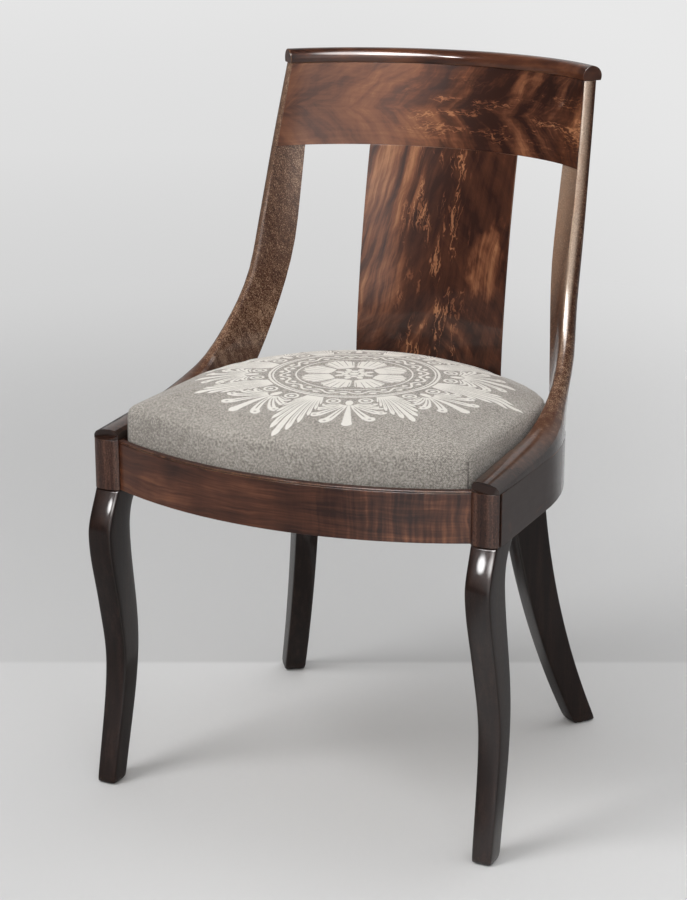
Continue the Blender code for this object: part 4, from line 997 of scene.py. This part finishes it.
cloth = cover.modifiers.new("cloth", "CLOTH")
cloth.settings.quality = 6
cloth.settings.mass = 0.3
cloth.settings.tension_stiffness = 30.0
cloth.settings.compression_stiffness = 30.0
cloth.settings.bending_stiffness = 4.0
cloth.settings.use_pressure = True
cloth.settings.uniform_pressure_force = 4.0
cloth.settings.vertex_group_mass = "held"
cloth.settings.effector_weights.gravity = 0.0
for step in range(1, SIM_FRAMES + 1):
    bpy.context.scene.frame_set(step)
select_only(cover)
bpy.ops.object.modifier_apply(modifier="cloth")
bpy.context.scene.frame_set(1)
moved = []
for vertex, before, normal in zip(cover.data.vertices, start, normals):
    out = (vertex.co - before).dot(normal)
    out = min(max(out, LEAST_OUT), MOST_OUT) * eased(before.z, RAIL_TOP, FREE_ABOVE)
    vertex.co = before + normal * out
    moved.append(out * 1000)
print("cover moved outwards by", round(min(moved), 2), "to", round(max(moved), 2), "mm, mean",
      round(sum(moved) / len(moved), 2))

# %% [markdown]
# The closed bottom was there only for the simulation. It is cut away at the hem, the skin is
# smoothed and divided once, and it gets the thickness of cloth inwards. At each front corner the
# cover is folded round the pad in one upright pleat, which shows as a fine line of painted shade,
# with a slight dip beside it.

# %% Hem, thickness and corner pleats
HEM_TURNED = 0.0035
CLOTH_THICKNESS = 0.0016
PLEAT_BELT = (0.425, 0.435)
PLEAT_REACH = 0.0035
PLEAT_DEPTH = 0.0010

edit(cover)
bpy.ops.mesh.select_all(action="SELECT")
bpy.ops.mesh.vertices_smooth(factor=0.5, repeat=2)
bpy.ops.mesh.select_all(action="SELECT")
bpy.ops.mesh.bisect(plane_co=(0.0, 0.0, hem + HEM_TURNED), plane_no=(0.0, 0.0, 1.0), clear_inner=True)
done()
divide = cover.modifiers.new("divide", "SUBSURF")
divide.levels = 1
divide.render_levels = 1
apply_modifiers(cover)
belt = [v.co for v in cover.data.vertices if PLEAT_BELT[0] < v.co.z < PLEAT_BELT[1]]
PLEAT = max(belt, key=lambda co: abs(co.x) - co.y).xy
PLEAT.x = abs(PLEAT.x)
outward = [v.normal.copy() for v in cover.data.vertices]
for vertex, normal in zip(cover.data.vertices, outward):
    spot = Vector((abs(vertex.co.x), vertex.co.y))
    vertex.co -= normal * PLEAT_DEPTH * math.exp(-((spot - PLEAT).length / PLEAT_REACH) ** 2)
wall = cover.modifiers.new("cloth_wall", "SOLIDIFY")
wall.thickness = CLOTH_THICKNESS
wall.offset = -1.0
apply_modifiers(cover)
cover.data.shade_smooth()
print("cover faces:", len(cover.data.polygons), "pleat at", [round(c, 4) for c in PLEAT])

# %% [markdown]
# ## Cover cloth and medallion
# The cloth is a mid-grey twill with a speckle of darker and lighter threads. Its pale medallion is
# an old neoclassical pattern: a small flower, an eight-lobed rosette, a ring, a waving vine, a
# second ring, and then sixteen leaves, pointed acanthus and fan-shaped palmettes in turn. All of it
# repeats round a centre, so it is drawn in polar coordinates: the angle is folded into one sector,
# and each leaf is drawn once.

# %% Polar helpers
MEDALLION_CENTRE = (-0.005, -0.036)


def polar(x, y):
    """Distance and angle from the medallion's centre, the angle from straight ahead."""
    px, py = x - MEDALLION_CENTRE[0], y - MEDALLION_CENTRE[1]
    far = (px * px + py * py).math("SQRT")
    angle = px.math("ARCTAN2", -py)
    return far, angle


def sector(angle, count, offset=0.0):
    """The angle folded into one of so many equal sectors, zero in its middle."""
    share = (angle + offset) * (count / math.tau) + 100.5
    return (share.math("FRACT") - 0.5) * (math.tau / count)


def line(value, middle, half, soft=0.0004):
    """A line where a value passes a number."""
    return 1.0 - abs(value - middle).step(half - soft, half + soft)


def within(value, limit, soft=0.0005):
    """Inside a limit."""
    return 1.0 - (value - limit).step(-soft, soft)


def joined(*masks):
    """The union of masks."""
    made = masks[0]
    for mask in masks[1:]:
        made = made.math("MAXIMUM", mask)
    return made


print("polar helpers ready")

# %% [markdown]
# In the middle is a button in a ring of beads, with small leaves between them, then eight lobes
# with fanning veins. Round it run a thin ring, a waving vine with a leaf in each bend, and a double
# ring.

# %% Rosette and rings
def rosette(far, angle):
    """A button in a ring of beads, a ring of small leaves, and eight large lobes with fanning veins."""
    fold = sector(angle, 8)
    half = fold * (8.0 / math.pi)
    bead_aside = sector(angle, 8, math.pi / 8) * far
    bead = ((far - 0.0108) ** 2.0 + bead_aside ** 2.0).math("SQRT")
    tip = ((far - 0.0178) / 0.0052) ** 2.0 + (fold * far / 0.0034) ** 2.0
    flower = joined(within(far, 0.0052), within(bead, 0.0038), within(tip, 1.0, 0.1))
    rim = 0.0595 - half * half * 0.0120 + abs((half * 8.2).math("COSINE")) * 0.0028
    base = 0.0255 + half * half * 0.004
    lobe = within(far, rim) * (1.0 - within(far, base))
    split = 1.0 - (1.0 - abs(half)).step(0.06, 0.16)
    fan = abs((half * 8.2).math("SINE")).step(0.10, 0.34)
    outer = far.step(0.034, 0.040)
    vein = 1.0 - (1.0 - fan) * outer
    return joined(flower, lobe * (1.0 - split) * vein)


def rings(far, angle):
    """Two rings with a waving vine between them."""
    wave = (angle * 16.0).math("SINE")
    vine = line(far - 0.0784 - wave * 0.0044, 0.0, 0.0017)
    leaf_angle = sector(angle, 32, math.pi / 32)
    leaf_far = far - 0.0784 + wave * 0.0046
    leaf = (leaf_angle * 0.0784 / 0.0040) ** 2.0 + (leaf_far / 0.0026) ** 2.0
    return joined(line(far, 0.0655, 0.0009), vine, within(leaf, 1.0, 0.15), line(far, 0.0912, 0.0009),
                  line(far, 0.0952, 0.0014))


print("rosette and rings ready")

# %% [markdown]
# Outside the rings pointed acanthus leaves and open palmettes take turns. Both are fans of blades:
# the angle from the leaf's foot is divided into blades, and each blade ends at its own length.

# %% Leaves
ACANTHUS_FOOT = 0.098
FAN_BACK = 0.030
FROND_TURN = 0.073
PALMETTE_FOOT = 0.112
PETAL_TURN = 0.345


def fanned(along, aside, spread, grow, length, spacing):
    """Fan coordinates: share of the length, blade number, and -1 to 1 across the blade."""
    share = (along * along + aside * aside).math("SQRT") / length
    turn = aside.math("ARCTAN2", along) / (share * grow + spread) / spacing
    blade = (turn + 0.5).math("FLOOR")
    return share, blade, (turn - blade) * 2.0


def acanthus(far, angle):
    """Eight pointed leaves of long curving fronds, the four square to the chair longer."""
    fold = sector(angle, 8)
    along = far * fold.math("COSINE") - ACANTHUS_FOOT
    aside = abs(far * fold.math("SINE"))
    length = (angle * 4.0).math("COSINE") * 0.008 + 0.1265
    share, blade, across = fanned(along + FAN_BACK, aside, 0.66, 0.44, length, FROND_TURN)
    limit = 1.0 - blade * 0.100 - blade * blade * 0.003
    counted = 1.0 - blade.step(5.2, 5.4)
    body = within(share + abs(across) ** 1.6 * 0.085, limit, 0.006) * counted
    gap = abs(across).step(0.66, 0.88) * share.step(0.27, 0.40)
    crease = (1.0 - abs(across + 0.15).step(0.06, 0.22)) * share.step(0.34, 0.44)
    crease = crease * (limit - share).step(0.06, 0.14)
    around = within(share, limit + 0.035, 0.006) * counted
    started = along.step(0.0, 0.001)
    return body * (1.0 - gap) * (1.0 - crease * 0.75) * started, around * started


def palmette(far, angle):
    """Eight open fans: a pointed drop and four pairs of curling petals, with a scroll at each side."""
    fold = sector(angle, 8, math.pi / 8)
    along = far * fold.math("COSINE") - PALMETTE_FOOT
    aside = abs(far * fold.math("SINE"))
    length = 0.0690
    share, blade, across = fanned(along, aside, 0.62, 0.62, length, PETAL_TURN)
    limit = 1.0 - blade * 0.045 - blade * blade * 0.022
    half_gap = share * (length * PETAL_TURN * 0.5) * (share * 0.62 + 0.62)
    local = across * half_gap
    side_petal = blade.clamp()
    end = share / limit
    stem = within(abs(local), end * 0.0054 + 0.0004) * (1.0 - end.step(0.86, 0.90))
    knob = ((share - limit) * length + 0.0062) ** 2.0 + (local - side_petal * 0.0016) ** 2.0
    knob = knob.math("SQRT")
    vein = line(abs(local), 0.0, 0.0008) * end.step(0.28, 0.40) * (1.0 - end.step(0.74, 0.84))
    vein = vein * side_petal
    eye = within(knob, 0.0017) * side_petal * 0.8
    petals = joined(stem, within(knob, 0.0058)) * (1.0 - vein) * (1.0 - eye)
    petals = petals * share.step(0.15, 0.18) * (1.0 - blade.step(4.2, 4.4))
    scroll_far = ((along + 0.004) ** 2.0 + (aside - 0.0175) ** 2.0).math("SQRT")
    scroll = joined(line(scroll_far, 0.0070, 0.0013), within(scroll_far, 0.0028))
    heart = ((along - 0.003) / 0.0080) ** 2.0 + (aside / 0.0042) ** 2.0
    return joined(petals * scroll_far.step(0.0084, 0.0094), scroll, within(heart, 1.0, 0.1))


print("leaves ready")

# %% [markdown]
# The parts of the medallion are put together with a slight wobble, as woven edges have. A palmette
# gives way to the acanthus beside it, and the pattern stops short of the seat's edge.

# %% Medallion
cover_cloth, shader, board, (x, y, z) = open_material("cover_twill")
far, angle = polar(x, y)
wobble = board.noise(x * 300.0, y * 300.0, 1.0, detail=2.0) - 0.5
far = far + wobble * 0.0012
leaf, around_leaf = acanthus(far, angle)
fan = palmette(far, angle) * (1.0 - around_leaf)
medallion = joined(rosette(far, angle), rings(far, angle), leaf, fan) * z.step(0.436, 0.444)
print("medallion nodes:", len(board.tree.nodes))

# %% [markdown]
# The ground is a twill of dark and light threads, darkened by a painted shade at the left front
# corner. The pale pattern shows the same threads less. Each pleat is a dark line of painted shade
# down its corner.

# %% Cover cloth
THREAD = 0.0013
DARK_THREAD = (0.165, 0.150, 0.133, 1.0)
LIGHT_THREAD = (0.425, 0.394, 0.354, 1.0)
PATTERN_DARK = (0.540, 0.515, 0.470, 1.0)
PATTERN_LIGHT = (0.790, 0.765, 0.715, 1.0)
PLEAT_PAINTED_SHADE = (0.045, 0.040, 0.036, 1.0)

along_side = y + z
turn = math.tau / THREAD
twill = ((x + along_side) * (turn / 2.0)).math("SINE") * 0.5 + 0.5
warp = (x * turn).math("SINE") * 0.5 + 0.5
weft = (along_side * turn).math("SINE") * 0.5 + 0.5
threads = twill * 0.5 + warp * 0.25 + weft * 0.25
speckle = board.noise(x * 540.0, y * 540.0, z * 540.0, detail=2.0, roughness=0.7)
cloud = board.noise(x * 14.0, y * 14.0, z * 14.0, detail=2.0)
shade = 0.5 + (threads - 0.5) * 0.7 + (speckle - 0.5) * 4.2 + (cloud - 0.5) * 0.35
# Painted shade: the ground is darker at the left front corner.
left_front_painted_shade = (1.0 - x.step(-0.19, -0.02)) * (1.0 - z.step(0.430, 0.462))
ground = (shade - left_front_painted_shade * 0.26).clamp().mix(DARK_THREAD, LIGHT_THREAD)
pattern = (0.55 + (threads - 0.5) * 0.35 + (speckle - 0.5) * 0.7).clamp().mix(PATTERN_DARK, PATTERN_LIGHT)
colour = medallion.mix(ground, pattern)
# Painted shade: a dark line down each pleat's fold.
pleat_far = ((abs(x) - PLEAT.x) ** 2.0 + (y - PLEAT.y) ** 2.0).math("SQRT")
pleat = (1.0 - pleat_far.step(0.0007, 0.0020)) * (1.0 - z.step(0.446, 0.454))
colour = (pleat * 0.7).mix(colour, PLEAT_PAINTED_SHADE)
height = threads * 0.6 + speckle * 0.6 + medallion * 0.9 - pleat * 2.0
feed(shader, Base_Color=colour, Roughness=0.94 - threads * 0.1, Specular_IOR_Level=0.22,
     Sheen_Weight=0.12, Sheen_Roughness=0.5, Normal=bump(board, height, 0.40, 0.00020))
dress(cover, "seat_cover", cover_cloth)
print("cover nodes:", len(board.tree.nodes))

# %% [markdown]
# Under the cover lies the hair itself. Nobody sees it, but it is a soft piece and not a block: its
# skin is remeshed and roughened into matted curls, a little inside the cover.

# %% Hair pad
HAIR_VOXEL = 0.006
CURL_SIZE = 0.012

hair = merged_copy("seat_stuffing", "seat_stuffing_hair")
hair.data.remesh_voxel_size = HAIR_VOXEL
bpy.ops.object.voxel_remesh()
curls = bpy.data.textures.new("curls", "CLOUDS")
curls.noise_scale = CURL_SIZE
tangle = hair.modifiers.new("tangle", "DISPLACE")
tangle.texture = curls
tangle.texture_coords = "LOCAL"
tangle.strength = -0.0025
tangle.mid_level = -1.4
apply_modifiers(hair)
hair.data.shade_smooth()

print("hair pad:", len(hair.data.polygons))

# %% [markdown]
# Horsehair is dark and wiry, with paler strands among the rest. Fine noise gives the strands their
# colour, their shine and their relief.

# %% Hair finish
DARK_HAIR = (0.030, 0.024, 0.019, 1.0)
PALE_HAIR = (0.190, 0.150, 0.115, 1.0)

hair_mat, shader, board, (x, y, z) = open_material("curled_hair")
strands = board.noise(x * 420.0, y * 420.0, z * 420.0, detail=4.0, roughness=0.7)
feed(shader, Base_Color=strands.step(0.3, 0.7).mix(DARK_HAIR, PALE_HAIR), Roughness=strands * 0.2 + 0.7,
     Normal=bump(board, strands, 0.8, 0.001))
dress(hair, "seat_stuffing", hair_mat)
print(hair_mat.name)
